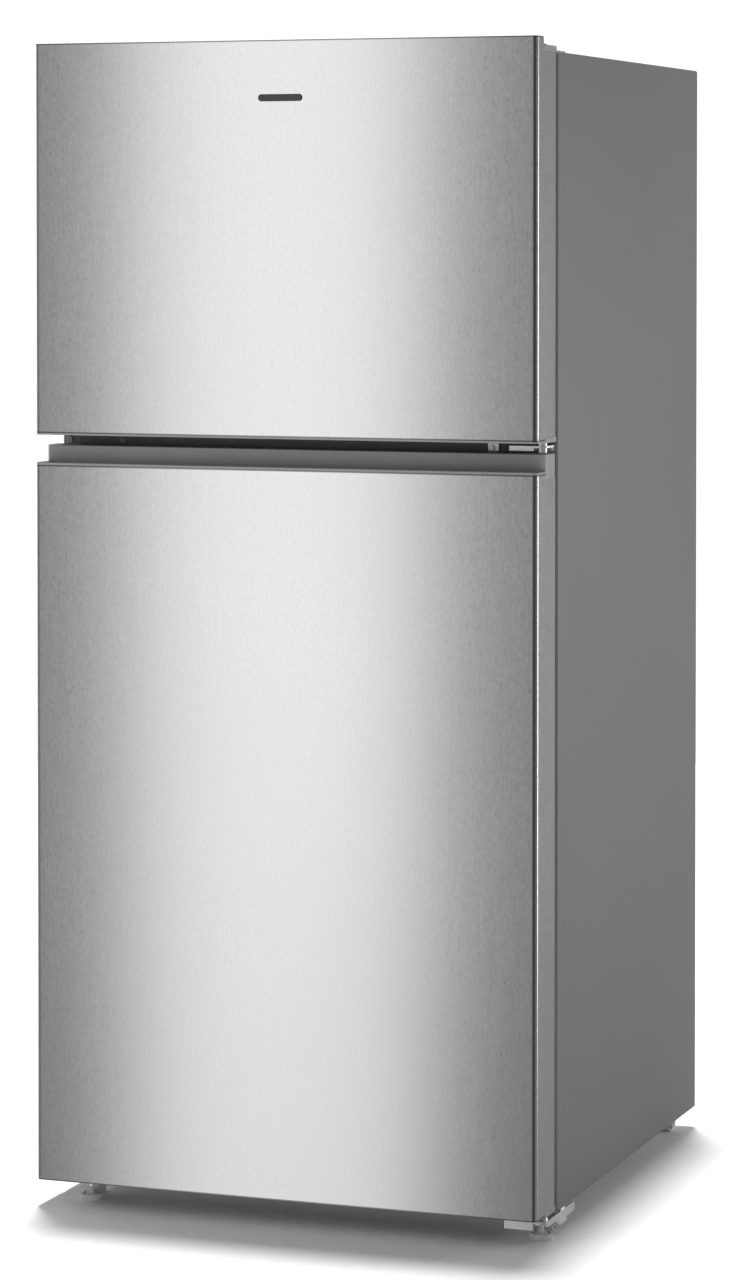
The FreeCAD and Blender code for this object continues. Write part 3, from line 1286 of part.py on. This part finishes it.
def pipe(x, depth, low, rise, turn_depth, run, bend, radius):
    """Pipe that rises from a stub, turns along the depth and then to the right."""
    z = low + rise
    return tube_along([Vec(x, at(depth), low), Vec(x, at(depth), z), Vec(x, at(turn_depth), z),
                       Vec(x + run, at(turn_depth), z)], bend, radius)


def drain_pan():
    """Shallow tub under the coil that catches the defrost water."""
    left, right, low = -half + 62, fan_x - 36, tray_floor + 0.2
    return open_tub(left, right, tray_front + 22, tray_back - 26, low, tray_floor + pan_height, 2.2, 16, 3.0)


def rear_access_cover():
    """Slotted cover of the compressor compartment."""
    x = half - 4
    low, high = tray_height + 6, step_top - 1.5
    cover = box(-x, x, shell_back, overall_depth, low, high)
    rows, row_pitch, first_row = 7, 20.0, low + 40
    columns, column_pitch, slot, slot_height = 9, 70.0, 52.0, 7.0
    first_column = -((columns - 1) * column_pitch + slot) / 2 - 4
    for row in range(rows):
        z = first_row + row * row_pitch
        for column in range(columns):
            x0 = first_column + column * column_pitch
            opening = round_plate_xz(x0, x0 + slot, z, z + slot_height, 3.4,
                                     shell_back - 1, overall_depth + 1)
            cover = cover.cut(opening)
    return cover.cut(rod(inlet_x, shell_back - 2, inlet_z, inlet_radius + clear, 8, Y_AXIS))


def power_inlet():
    """Grommet in the access cover where the supply lead goes in."""
    collar = rod(inlet_x, shell_back - 6, inlet_z, inlet_radius + 3, 6 - clear, Y_AXIS)
    body = rod(inlet_x, shell_back - 1, inlet_z, inlet_radius, back_panel_sheet + 1, Y_AXIS)
    bore = rod(inlet_x, shell_back - 8, inlet_z, inlet_bore, 14, Y_AXIS)
    return joined([collar, body]).cut(bore)


# ---------------------------------------------------------------- fasteners
def hex_head(x, depth, z, across, height, axis):
    """Hexagon head with a washer face, standing on a surface and pointing along an axis."""
    radius = across / math.sqrt(3)
    angles = [math.radians(60 * i) for i in range(7)]
    corners = [Vec(radius * math.cos(angle), radius * math.sin(angle), 0) for angle in angles]
    head = Part.Face(Part.makePolygon(corners)).extrude(Vec(0, 0, height))
    washer = Part.makeCylinder(across * 0.72, 1.0)
    screw = head.fuse(washer)
    screw.Placement = FreeCAD.Placement(Vec(x, at(depth), z), FreeCAD.Rotation(Z_AXIS, axis))
    return screw.removeSplitter()


def fasteners():
    """Hinge, bracket and cover screws, and the four roller axles."""
    pieces = [hex_head(x, d, cabinet_top + hinge_plate, 7.0, 3.0, Z_AXIS) for x, d in top_hinge_screws]
    down, forward = Vec(0, 0, -1), Vec(0, -1, 0)
    pieces.append(hex_head(half - stop_side, cabinet_front - hinge_plate, stop_z, 6.0, 2.2, forward))
    bracket_low = bracket_top - bracket_plate
    for x in (half - 50, half - 14):
        pieces.append(hex_head(x, cabinet_front + 36, bracket_low, 8.0, 4.0, down))
    for x in (left_foot_x - 5, left_foot_x + 5):
        pieces.append(hex_head(x, cabinet_front + 40, bracket_low, 6.0, 4.0, down))
    for x in (-half + 12, -120, 120, half - 12):
        for z in (tray_height + 14, step_top - 10):
            pieces.append(hex_head(x, overall_depth, z, 7.0, 3.0, Y_AXIS))
    front_axles = ((half - 41, 40.5), (left_foot_x - 15, 31.0))
    for x0, length in front_axles:
        pieces.append(rod(x0, roller_depth, roller_z, axle_radius, length, X_AXIS))
    overhang = 5.0
    for side_x in rear_roller_sides:
        start = side_x - roller_width / 2 - overhang
        pieces.append(rod(start, rear_roller_depth, rear_roller_radius, axle_radius,
                          roller_width + 2 * overhang, X_AXIS))
    return group(pieces)


def hole_plugs():
    """Caps over the unused hinge holes on the left, for when the doors are hung the other way."""
    plugs = []
    face, top = cabinet_front - 2.4, cabinet_top + 1.3
    for x, radius in ((-half + 11, 6.0), (-half + stop_side, 5.0)):
        button = rod(x, face, stop_z, radius, 2.3, Y_AXIS)
        plugs.append(button.makeFillet(0.9, edges_where(button, lambda p, e: near(p.y, at(face)))))
    for x in (-half + 22, -half + 62):
        button = rod(x, cabinet_front + 28, top - 1.2, 5.5, 1.2, Z_AXIS)
        plugs.append(button.makeFillet(0.6, edges_where(button, lambda p, e: near(p.z, top))))
    return group(plugs)


# ---------------------------------------------------------------- all the pieces
def build():
    parts = {
        "cabinet_shell": cabinet_shell(),
        "back_panel": back_panel(),
        "underside_panel": underside_panel(),
        "insulation_foam": insulation_foam(),
        "front_rails": front_rails(),
        "freezer_liner": freezer_liner(),
        "fridge_liner": fridge_liner(),
        "evaporator_cover": evaporator_cover(),
        "evaporator_coil": evaporator_coil(),
        "evaporator_fan": evaporator_fan(),
        "freezer_shelf": freezer_shelf(),
        "shelf_frames": shelf_frames(),
        "shelf_glass": shelf_glass(),
        "control_housing": control_housing(),
        "light_lens": light_lens(),
        "temperature_knob": temperature_knob(),
        "light_switch": light_switch(),
        "air_duct": air_duct(),
        "machine_tray": machine_tray(),
        "compressor": compressor(),
        "condenser_coil": condenser_coil(),
        "condenser_fan_housing": condenser_fan_housing(),
        "condenser_fan": condenser_fan(),
        "drain_pan": drain_pan(),
        "rear_access_cover": rear_access_cover(),
        "power_inlet": power_inlet(),
        "top_hinge": top_hinge(),
        "centre_hinge": centre_hinge(),
        "bottom_hinge": bottom_hinge(),
        "left_foot_bracket": left_foot_bracket(),
        "fasteners": fasteners(),
        "hole_plugs": hole_plugs(),
        "freezer_door_skin": door_steel(freezer_door_bottom, freezer_door_top, freezer_low_step,
                                        freezer_low_z, freezer_high_step, freezer_high_z, 0,
                                        freezer_hem),
        "freezer_door_top_cap": freezer_door_top_cap(),
        "freezer_door_bottom_cap": pocket_cap_bottom(),
        "freezer_door_liner": door_liner(freezer_low_z, freezer_high_z, *freezer_dyke,
                                         [z + lug_inset for z, height in freezer_bins.values()]),
        "freezer_door_foam": door_foam(pocket_roof + freezer_pocket_wall + cap_gap,
                                       freezer_high_z - cap_inner_depth - cap_gap, *freezer_dyke),
        "freezer_door_gasket": door_gasket(freezer_low_z + 4, cabinet_top - gasket_inset + 2),
        "door_badge": door_badge(),
        "fridge_door_skin": door_steel(fridge_door_bottom, fridge_door_top, fridge_low_step, fridge_low_z,
                                       fridge_high_step, fridge_high_z, fridge_hem, 0),
        "fridge_door_top_cap": pocket_cap_top(),
        "fridge_door_bottom_cap": fridge_door_bottom_cap(),
        "fridge_door_liner": door_liner(fridge_low_z, fridge_cap_top - 1.5, *fridge_dyke,
                                        [z + lug_inset for z, height in fridge_bins.values()]),
        "fridge_door_foam": door_foam(fridge_low_z + cap_inner_depth + cap_gap,
                                      pocket_floor - pocket_wall - cap_gap, *fridge_dyke),
        "fridge_door_gasket": door_gasket(fridge_gasket_low, fridge_cap_top - 4.0),
        "crisper_left": crisper(-1),
        "crisper_right": crisper(1),
        "humidity_slide_left": humidity_slide(-1),
        "humidity_slide_right": humidity_slide(1),
        "left_foot": levelling_foot(left_foot_x, bracket_top + 4),
        "right_foot": levelling_foot(hinge_x, bracket_top + 2),
        "roller_front_left": roller(left_foot_x - 9.5, roller_depth, roller_z, roller_radius, roller_width),
        "roller_front_right": roller(half - 35, roller_depth, roller_z, roller_radius, wide_roller_width),
    }
    for side_x, name in zip(rear_roller_sides, ("roller_rear_left", "roller_rear_right")):
        parts[name] = roller(side_x - roller_width / 2, rear_roller_depth, rear_roller_radius,
                             rear_roller_radius, roller_width)
    for bins in (fridge_bins, freezer_bins):
        for name, (z, height) in bins.items():
            parts[name] = door_bin(z, height)
    return parts


def main():
    os.makedirs("parts", exist_ok=True)
    parts = build()
    for name, shape in parts.items():
        if not shape.isValid() or shape.Volume <= 0:
            print("check", name, shape.isValid(), round(shape.Volume))
        shape.exportStep(os.path.join("parts", name + ".step"))
    print(len(parts), "pieces")


main()
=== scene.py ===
import json
import math

import bmesh
import bpy
from mathutils import Matrix, Vector


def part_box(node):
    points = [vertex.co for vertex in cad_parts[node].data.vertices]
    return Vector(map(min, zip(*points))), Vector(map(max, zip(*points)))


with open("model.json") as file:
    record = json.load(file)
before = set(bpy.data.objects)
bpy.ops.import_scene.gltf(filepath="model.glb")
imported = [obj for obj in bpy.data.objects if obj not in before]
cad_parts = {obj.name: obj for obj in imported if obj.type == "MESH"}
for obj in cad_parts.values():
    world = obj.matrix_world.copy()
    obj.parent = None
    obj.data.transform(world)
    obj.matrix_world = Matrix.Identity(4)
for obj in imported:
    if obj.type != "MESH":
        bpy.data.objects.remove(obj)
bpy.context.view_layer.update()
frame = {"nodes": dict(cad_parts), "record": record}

NODES = frame["nodes"]
RECORD = frame["record"]


# ---------------------------------------------------------------- shader graphs
class Graph:
    """A material's node tree, with one short call for each kind of node it needs."""

    def __init__(self, name):
        self.material = bpy.data.materials.new(name)
        self.material.use_nodes = True
        self.tree = self.material.node_tree
        self.tree.nodes.clear()
        self.shader = self.tree.nodes.new("ShaderNodeBsdfPrincipled")
        out = self.tree.nodes.new("ShaderNodeOutputMaterial")
        self.tree.links.new(self.shader.outputs["BSDF"], out.inputs["Surface"])
        self.position = self.tree.nodes.new("ShaderNodeTexCoord").outputs["Object"]

    def put(self, socket, value):
        """Link another node's output to the socket, or set the socket to a number or colour."""
        if isinstance(value, bpy.types.NodeSocket):
            self.tree.links.new(value, socket)
        elif isinstance(value, tuple) and len(value) == 3 and len(socket.default_value) == 4:
            socket.default_value = (*value, 1.0)
        else:
            socket.default_value = value

    def set(self, **values):
        """Set the shader's own inputs, whose names have _ in place of a space."""
        for name, value in values.items():
            self.put(self.shader.inputs[name.replace("_", " ")], value)

    def stretch(self, scale):
        node = self.tree.nodes.new("ShaderNodeMapping")
        self.put(node.inputs["Vector"], self.position)
        node.inputs["Scale"].default_value = scale
        return node.outputs["Vector"]

    def noise(self, scale, detail=3.0, roughness=0.5, vector=None, distortion=0.0):
        node = self.tree.nodes.new("ShaderNodeTexNoise")
        self.put(node.inputs["Vector"], vector if vector is not None else self.position)
        node.inputs["Scale"].default_value = scale
        node.inputs["Detail"].default_value = detail
        node.inputs["Roughness"].default_value = roughness
        node.inputs["Distortion"].default_value = distortion
        return node.outputs["Fac"]

    def cells(self, scale):
        """Distance to the nearest of many scattered points."""
        node = self.tree.nodes.new("ShaderNodeTexVoronoi")
        self.put(node.inputs["Vector"], self.position)
        node.inputs["Scale"].default_value = scale
        return node.outputs["Distance"]

    def ramp(self, value, low, high, start=0.0, end=1.0):
        """Map low..high to start..end, and keep to start or end beyond them."""
        node = self.tree.nodes.new("ShaderNodeMapRange")
        self.put(node.inputs["Value"], value)
        node.inputs["From Min"].default_value = low
        node.inputs["From Max"].default_value = high
        node.inputs["To Min"].default_value = start
        node.inputs["To Max"].default_value = end
        return node.outputs["Result"]

    def spread(self, noise, start=0.0, end=1.0):
        """Map the range where nearly all of a noise's values lie to start..end."""
        return self.ramp(noise, 0.3, 0.7, start, end)

    def math(self, operation, a, b=0.0):
        node = self.tree.nodes.new("ShaderNodeMath")
        node.operation = operation
        self.put(node.inputs[0], a)
        self.put(node.inputs[1], b)
        return node.outputs[0]

    def blend(self, factor, a, b):
        """Colour a where the factor is 0, and b where it is 1."""
        node = self.tree.nodes.new("ShaderNodeMix")
        node.data_type = "RGBA"
        colour_a, colour_b = [socket for socket in node.inputs if socket.type == "RGBA"]
        self.put(node.inputs["Factor"], factor)
        self.put(colour_a, a)
        self.put(colour_b, b)
        return next(socket for socket in node.outputs if socket.type == "RGBA")

    def bump(self, height, strength, distance, normal=None):
        node = self.tree.nodes.new("ShaderNodeBump")
        node.inputs["Strength"].default_value = strength
        node.inputs["Distance"].default_value = distance
        self.put(node.inputs["Height"], height)
        if normal is not None:
            self.put(node.inputs["Normal"], normal)
        self.put(self.shader.inputs["Normal"], node.outputs["Normal"])

    def rounded(self, radius):
        """Normal as if each edge were rounded by this radius."""
        node = self.tree.nodes.new("ShaderNodeBevel")
        node.samples = 4
        node.inputs["Radius"].default_value = radius
        return node.outputs["Normal"]

    def edges(self, radius):
        """1 along sharp edges, 0 on flats."""
        flat, sharp = 0.985, 0.80
        geometry = self.tree.nodes.new("ShaderNodeNewGeometry")
        agreement = self.tree.nodes.new("ShaderNodeVectorMath")
        agreement.operation = "DOT_PRODUCT"
        self.put(agreement.inputs[0], self.rounded(radius))
        self.put(agreement.inputs[1], geometry.outputs["Normal"])
        return self.ramp(agreement.outputs["Value"], flat, sharp)

    def axis(self, name):
        node = self.tree.nodes.new("ShaderNodeSeparateXYZ")
        self.put(node.inputs[0], self.position)
        return node.outputs[name]


def scaled(colour, factor):
    """The colour so many times as bright, up to white."""
    return tuple(min(1.0, channel * factor) for channel in colour)


# ---------------------------------------------------------------- materials
def brushed(name, colour, rough, painted_shade_lines, contrast=0.17, anisotropy=0.5):
    """Brushed stainless steel with its short grain along Z, and a painted shade line along each hem,
    standing in for the seam's shadow and the rounded edge's dark reflection.
    """
    graph = Graph(name)
    short = graph.noise(1.0, 2.0, 0.55, graph.stretch((520, 520, 140)))
    fine = graph.noise(1.0, 2.0, 0.5, graph.stretch((1500, 1500, 160)))
    long_grain = graph.noise(1.0, 2.0, 0.5, graph.stretch((520, 520, 9)))
    cloudy = graph.noise(3.0, 2.0, 0.5)
    grains = graph.math("ADD", graph.math("MULTIPLY", short, 0.60), graph.math("MULTIPLY", fine, 0.25))
    grains = graph.math("ADD", grains, graph.math("MULTIPLY", long_grain, 0.15))
    faint, strong = 0.28, 0.72  # the mixed grains keep between these
    dark, light = scaled(colour, 1.0 - contrast), scaled(colour, 1.0 + contrast)
    base = graph.blend(graph.ramp(grains, faint, strong), dark, light)
    base = graph.blend(graph.spread(cloudy, 0.0, 0.25), base, scaled(colour, 0.93))
    for axis, place, reach in painted_shade_lines:
        away = graph.math("ABSOLUTE", graph.math("SUBTRACT", graph.axis(axis), place))
        # Painted shade: the steel darkens toward a tenth of its colour along each hem, for the seam's
        # shadow and the rounded edge's dark reflection.
        base = graph.blend(graph.ramp(away, reach * 0.5, reach, 0.8, 0.0), base, scaled(colour, 0.10))
    graph.set(Base_Color=base, Metallic=1.0)
    graph.set(Roughness=graph.ramp(grains, faint, strong, rough - 0.04, rough + 0.06))
    graph.set(Anisotropic=anisotropy, Anisotropic_Rotation=0.25)
    tangent = graph.tree.nodes.new("ShaderNodeTangent")
    tangent.direction_type = "RADIAL"
    tangent.axis = "Z"
    graph.put(graph.shader.inputs["Tangent"], tangent.outputs[0])
    graph.bump(grains, 0.12, 0.0002)
    return graph.material


def door_steel(node):
    """Brushed steel for one door's skin, with painted shade lines round its front face."""
    low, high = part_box(node)
    wide, narrow = 0.0022, 0.0020
    open_side = low[0] + 0.0012
    hinge_side = high[0] - 0.004
    # Painted shade lines along the top and bottom edges, the open side and the hinge side.
    painted_shade_lines = [("Z", low[2], wide), ("Z", high[2], wide), ("X", open_side, narrow), ("X", hinge_side, wide)]
    return brushed(node + "_steel", (0.60, 0.60, 0.605), 0.30, painted_shade_lines)


def plain_metal(name, colour, rough, spangle=0.0):
    """Plated or rolled metal: faint cloudiness, scratches and brighter edges."""
    wear = 0.5
    graph = Graph(name)
    cloud = graph.noise(14.0, 4.0, 0.6)
    scratches = graph.noise(1.0, 4.0, 0.7, graph.stretch((900, 60, 900)))
    base = graph.blend(graph.spread(cloud), scaled(colour, 0.86), scaled(colour, 1.08))
    if spangle:
        flakes = graph.ramp(graph.cells(180.0), 0.0, 0.8)
        base = graph.blend(graph.math("MULTIPLY", flakes, spangle), base, scaled(colour, 1.3))
    base = graph.blend(graph.math("MULTIPLY", graph.edges(0.0008), wear), base, scaled(colour, 1.45))
    scratched = graph.spread(scratches, rough - 0.05, rough + 0.08)
    graph.set(Base_Color=base, Metallic=1.0)
    graph.set(Roughness=graph.math("ADD", scratched, graph.spread(cloud, 0.0, 0.05)))
    graph.bump(scratches, 0.05, 0.0002, graph.rounded(0.0005))
    return graph.material


def paint(name, colour, rough=0.45, pebble=900.0, depth=0.00006, strength=0.35, wear=0.35, coat=0.0):
    """Sprayed or powder-coated sheet with a fine pebbled skin."""
    graph = Graph(name)
    skin = graph.noise(pebble, 2.0, 0.5)
    cloud = graph.noise(2.2, 3.0, 0.5)
    speck = graph.noise(pebble * 1.8, 2.0, 0.6)
    base = graph.blend(graph.spread(cloud), scaled(colour, 0.96), scaled(colour, 1.04))
    base = graph.blend(graph.ramp(speck, 0.42, 0.62, 0.0, 0.5), base, scaled(colour, 0.88))
    base = graph.blend(graph.math("MULTIPLY", graph.edges(0.0010), wear), base, scaled(colour, 1.5))
    graph.set(Base_Color=base, Coat_Weight=coat)
    graph.set(Roughness=graph.spread(skin, rough - 0.06, rough + 0.07))
    graph.bump(skin, strength, depth, graph.rounded(0.0012))
    return graph.material


def moulded(name, colour, rough, grain=1400.0, strength=0.25, wear=0.3, soft_edge=0.0008, clear=0.0):
    """Injection-moulded plastic: fine spark-eroded grain, flow clouding and rubbed edges."""
    graph = Graph(name)
    skin = graph.noise(grain, 3.0, 0.6)
    flow = graph.noise(6.0, 3.0, 0.55, graph.stretch((1, 1, 0.4)), 0.4)
    base = graph.blend(graph.spread(flow), scaled(colour, 0.94), scaled(colour, 1.05))
    base = graph.blend(graph.ramp(skin, 0.45, 0.7, 0.0, 0.35), base, scaled(colour, 0.85))
    base = graph.blend(graph.math("MULTIPLY", graph.edges(soft_edge), wear), base, scaled(colour, 1.4))
    graph.set(Base_Color=base, IOR=1.49, Transmission_Weight=clear)
    graph.set(Roughness=graph.spread(skin, rough - 0.07, rough + 0.08))
    graph.bump(skin, strength, 0.00005, graph.rounded(soft_edge))
    return graph.material


def foam_skin(name, colour):
    """Rigid foam with open bubbles and slow flow marks."""
    graph = Graph(name)
    bubbles = graph.cells(420.0)
    flow = graph.noise(9.0, 4.0, 0.6)
    base = graph.blend(graph.ramp(bubbles, 0.0, 0.6), scaled(colour, 0.72), colour)
    base = graph.blend(graph.ramp(flow, 0.35, 0.7, 0.0, 0.5), base, scaled(colour, 0.82))
    graph.set(Base_Color=base, Roughness=graph.spread(flow, 0.75, 0.95))
    graph.bump(bubbles, 0.5, 0.0006)
    return graph.material


def glass_pane(name, colour):
    """Clear glass with a faint film, a little dust and greener edges."""
    edge_green = (0.35, 0.62, 0.52)
    graph = Graph(name)
    film = graph.noise(30.0, 4.0, 0.6)
    dust = graph.noise(700.0, 2.0, 0.5)
    face = graph.blend(graph.spread(film), scaled(colour, 0.97), colour)
    base = graph.blend(graph.edges(0.0012), face, edge_green)
    graph.set(Base_Color=base, IOR=1.5, Transmission_Weight=0.92)
    dusty = graph.ramp(dust, 0.6, 0.8, 0.0, 0.12)
    graph.set(Roughness=graph.math("ADD", graph.spread(film, 0.015, 0.05), dusty))
    graph.bump(film, 0.02, 0.0002, graph.rounded(0.0008))
    return graph.material


MATERIALS = {
    "cabinet_grey": paint("cabinet_grey", (0.160, 0.160, 0.163)),
    "badge": plain_metal("badge", (0.05, 0.05, 0.052), 0.22),
    "galvanised": plain_metal("galvanised", (0.55, 0.56, 0.57), 0.42, spangle=0.35),
    "hinge_steel": plain_metal("hinge_steel", (0.92, 0.92, 0.91), 0.34),
    "aluminium": plain_metal("aluminium", (0.78, 0.79, 0.80), 0.38),
    "wire_white": paint("wire_white", (0.82, 0.82, 0.82), 0.3, pebble=500.0, depth=0.00005, strength=0.2),
    "black_enamel": paint("black_enamel", (0.018, 0.018, 0.02), 0.25, pebble=400.0, depth=0.0001,
                          strength=0.2, wear=0.3, coat=0.4),
    "foam": foam_skin("foam", (0.78, 0.66, 0.38)),
    "shelf_glass": glass_pane("shelf_glass", (0.93, 0.98, 0.96)),
    "cap_grey": moulded("cap_grey", (0.28, 0.28, 0.283), 0.45),
    "white_plastic": moulded("white_plastic", (0.76, 0.77, 0.78), 0.38),
    "black_plastic": moulded("black_plastic", (0.025, 0.025, 0.027), 0.42),
    "wheel": moulded("wheel", (0.55, 0.55, 0.55), 0.42),
    "foot": moulded("foot", (0.72, 0.72, 0.72), 0.36),
    "liner_white": moulded("liner_white", (0.80, 0.81, 0.82), 0.28, grain=500.0, strength=0.12,
                           wear=0.2, soft_edge=0.002),
    "gasket": moulded("gasket", (0.05, 0.05, 0.052), 0.55, grain=900.0, strength=0.3,
                      wear=0.15, soft_edge=0.001),
    "clear_plastic": moulded("clear_plastic", (0.88, 0.92, 0.95), 0.16, grain=300.0, strength=0.06,
                             wear=0.4, soft_edge=0.001, clear=0.85),
    "lens": moulded("lens", (0.90, 0.92, 0.93), 0.35, grain=250.0, strength=0.3,
                    wear=0.2, soft_edge=0.001, clear=0.5),
}
# These nodes have a finish of their own in place of their material slot's.
OWN_FINISH = {
    "freezer_door_skin": door_steel("freezer_door_skin"),
    "fridge_door_skin": door_steel("fridge_door_skin"),
    "door_badge": MATERIALS["badge"],
    "top_hinge": MATERIALS["galvanised"],
}
for part in RECORD["subparts"]:
    name = part["node"]
    finish = OWN_FINISH.get(name) or MATERIALS[part["material_slot"]]
    materials = NODES[name].data.materials
    materials.clear()
    materials.append(finish)


# ---------------------------------------------------------------- floor, lights and camera
def floor_stage():
    """Pale floor, wide enough to reach the horizon from every side."""
    reach = 60.0
    mesh = bmesh.new()
    corners = ((-reach, -reach), (reach, -reach), (reach, reach), (-reach, reach))
    mesh.faces.new([mesh.verts.new((x, y, 0.0)) for x, y in corners])
    data = bpy.data.meshes.new("studio_floor")
    mesh.to_mesh(data)
    mesh.free()
    floor = bpy.data.objects.new("studio_floor", data)
    bpy.context.scene.collection.objects.link(floor)
    graph = Graph("studio_floor")
    grain = graph.spread(graph.noise(60.0, 3.0, 0.5))
    graph.set(Base_Color=graph.blend(grain, (0.86, 0.86, 0.86), (0.90, 0.90, 0.90)), Roughness=0.9)
    data.materials.append(graph.material)
    floor.visible_glossy = False  # the steel reflects an even studio, not the floor


def area_light(name, location, target, size, power):
    """Rectangular lamp of the given width and height, turned to its target and unseen itself."""
    light = bpy.data.lights.new(name, "AREA")
    light.shape = "RECTANGLE"
    light.size, light.size_y = size
    light.energy = power
    lamp = bpy.data.objects.new(name, light)
    turn = (Vector(target) - Vector(location)).to_track_quat("-Z", "Y").to_matrix().to_4x4()
    lamp.matrix_world = Matrix.Translation(location) @ turn
    lamp.visible_camera = False
    bpy.context.scene.collection.objects.link(lamp)


def sun(name, direction, strength, spread):
    """Far, soft-edged light travelling in the given direction."""
    light = bpy.data.lights.new(name, "SUN")
    light.energy = strength
    light.angle = math.radians(spread)
    lamp = bpy.data.objects.new(name, light)
    lamp.matrix_world = Vector(direction).to_track_quat("-Z", "Y").to_matrix().to_4x4()
    bpy.context.scene.collection.objects.link(lamp)


def studio_world():
    """Even grey light from all round, which the camera sees as white."""
    world = bpy.data.worlds.new("studio")
    world.use_nodes = True
    nodes, links = world.node_tree.nodes, world.node_tree.links
    background = nodes["Background"]
    background.inputs["Color"].default_value = (1, 1, 1, 1)
    strength = nodes.new("ShaderNodeMapRange")
    strength.inputs["To Min"].default_value = 0.24
    strength.inputs["To Max"].default_value = 1.1
    path = nodes.new("ShaderNodeLightPath")
    links.new(path.outputs["Is Camera Ray"], strength.inputs["Value"])
    links.new(strength.outputs["Result"], background.inputs["Strength"])
    bpy.context.scene.world = world


def lights():
    """Overhead light for the floor's shadow, a tall strip before the doors, and three fills."""
    sun("overhead", (0.035, -0.09, -1.0), 3.2, 4.5)
    area_light("door_strip", (-0.41, -1.45, 0.8), (-0.41, 0.0, 0.8), (0.55, 4.8), 11.2)
    area_light("right_fill", (2.5, 1.9, 0.7), (0.38, 0.3, 0.5), (1.0, 2.0), 30)
    area_light("left_fill", (-3.4, 1.6, 0.9), (-0.38, 0.2, 0.8), (2.4, 3.0), 60)
    area_light("back_fill", (-1.6, 4.2, 1.0), (0.0, 0.4, 0.8), (3.0, 3.0), 34)


def camera():
    """Long lens, nearly level, with a vertical shift that keeps the uprights nearly parallel."""
    tilt_down, turn = 1.633, 19.995
    data = bpy.data.cameras.new("camera")
    data.sensor_width = 36.0
    data.lens = 113.7
    data.shift_y = -0.23
    data.clip_end = 60.0
    eye = bpy.data.objects.new("camera", data)
    eye.location = (2.054, -5.704, 1.409)
    eye.rotation_euler = (math.radians(90.0 - tilt_down), 0.0, math.radians(turn))
    bpy.context.scene.collection.objects.link(eye)
    bpy.context.scene.camera = eye


floor_stage()
studio_world()
lights()
camera()
bpy.context.scene.view_settings.view_transform = "Standard"
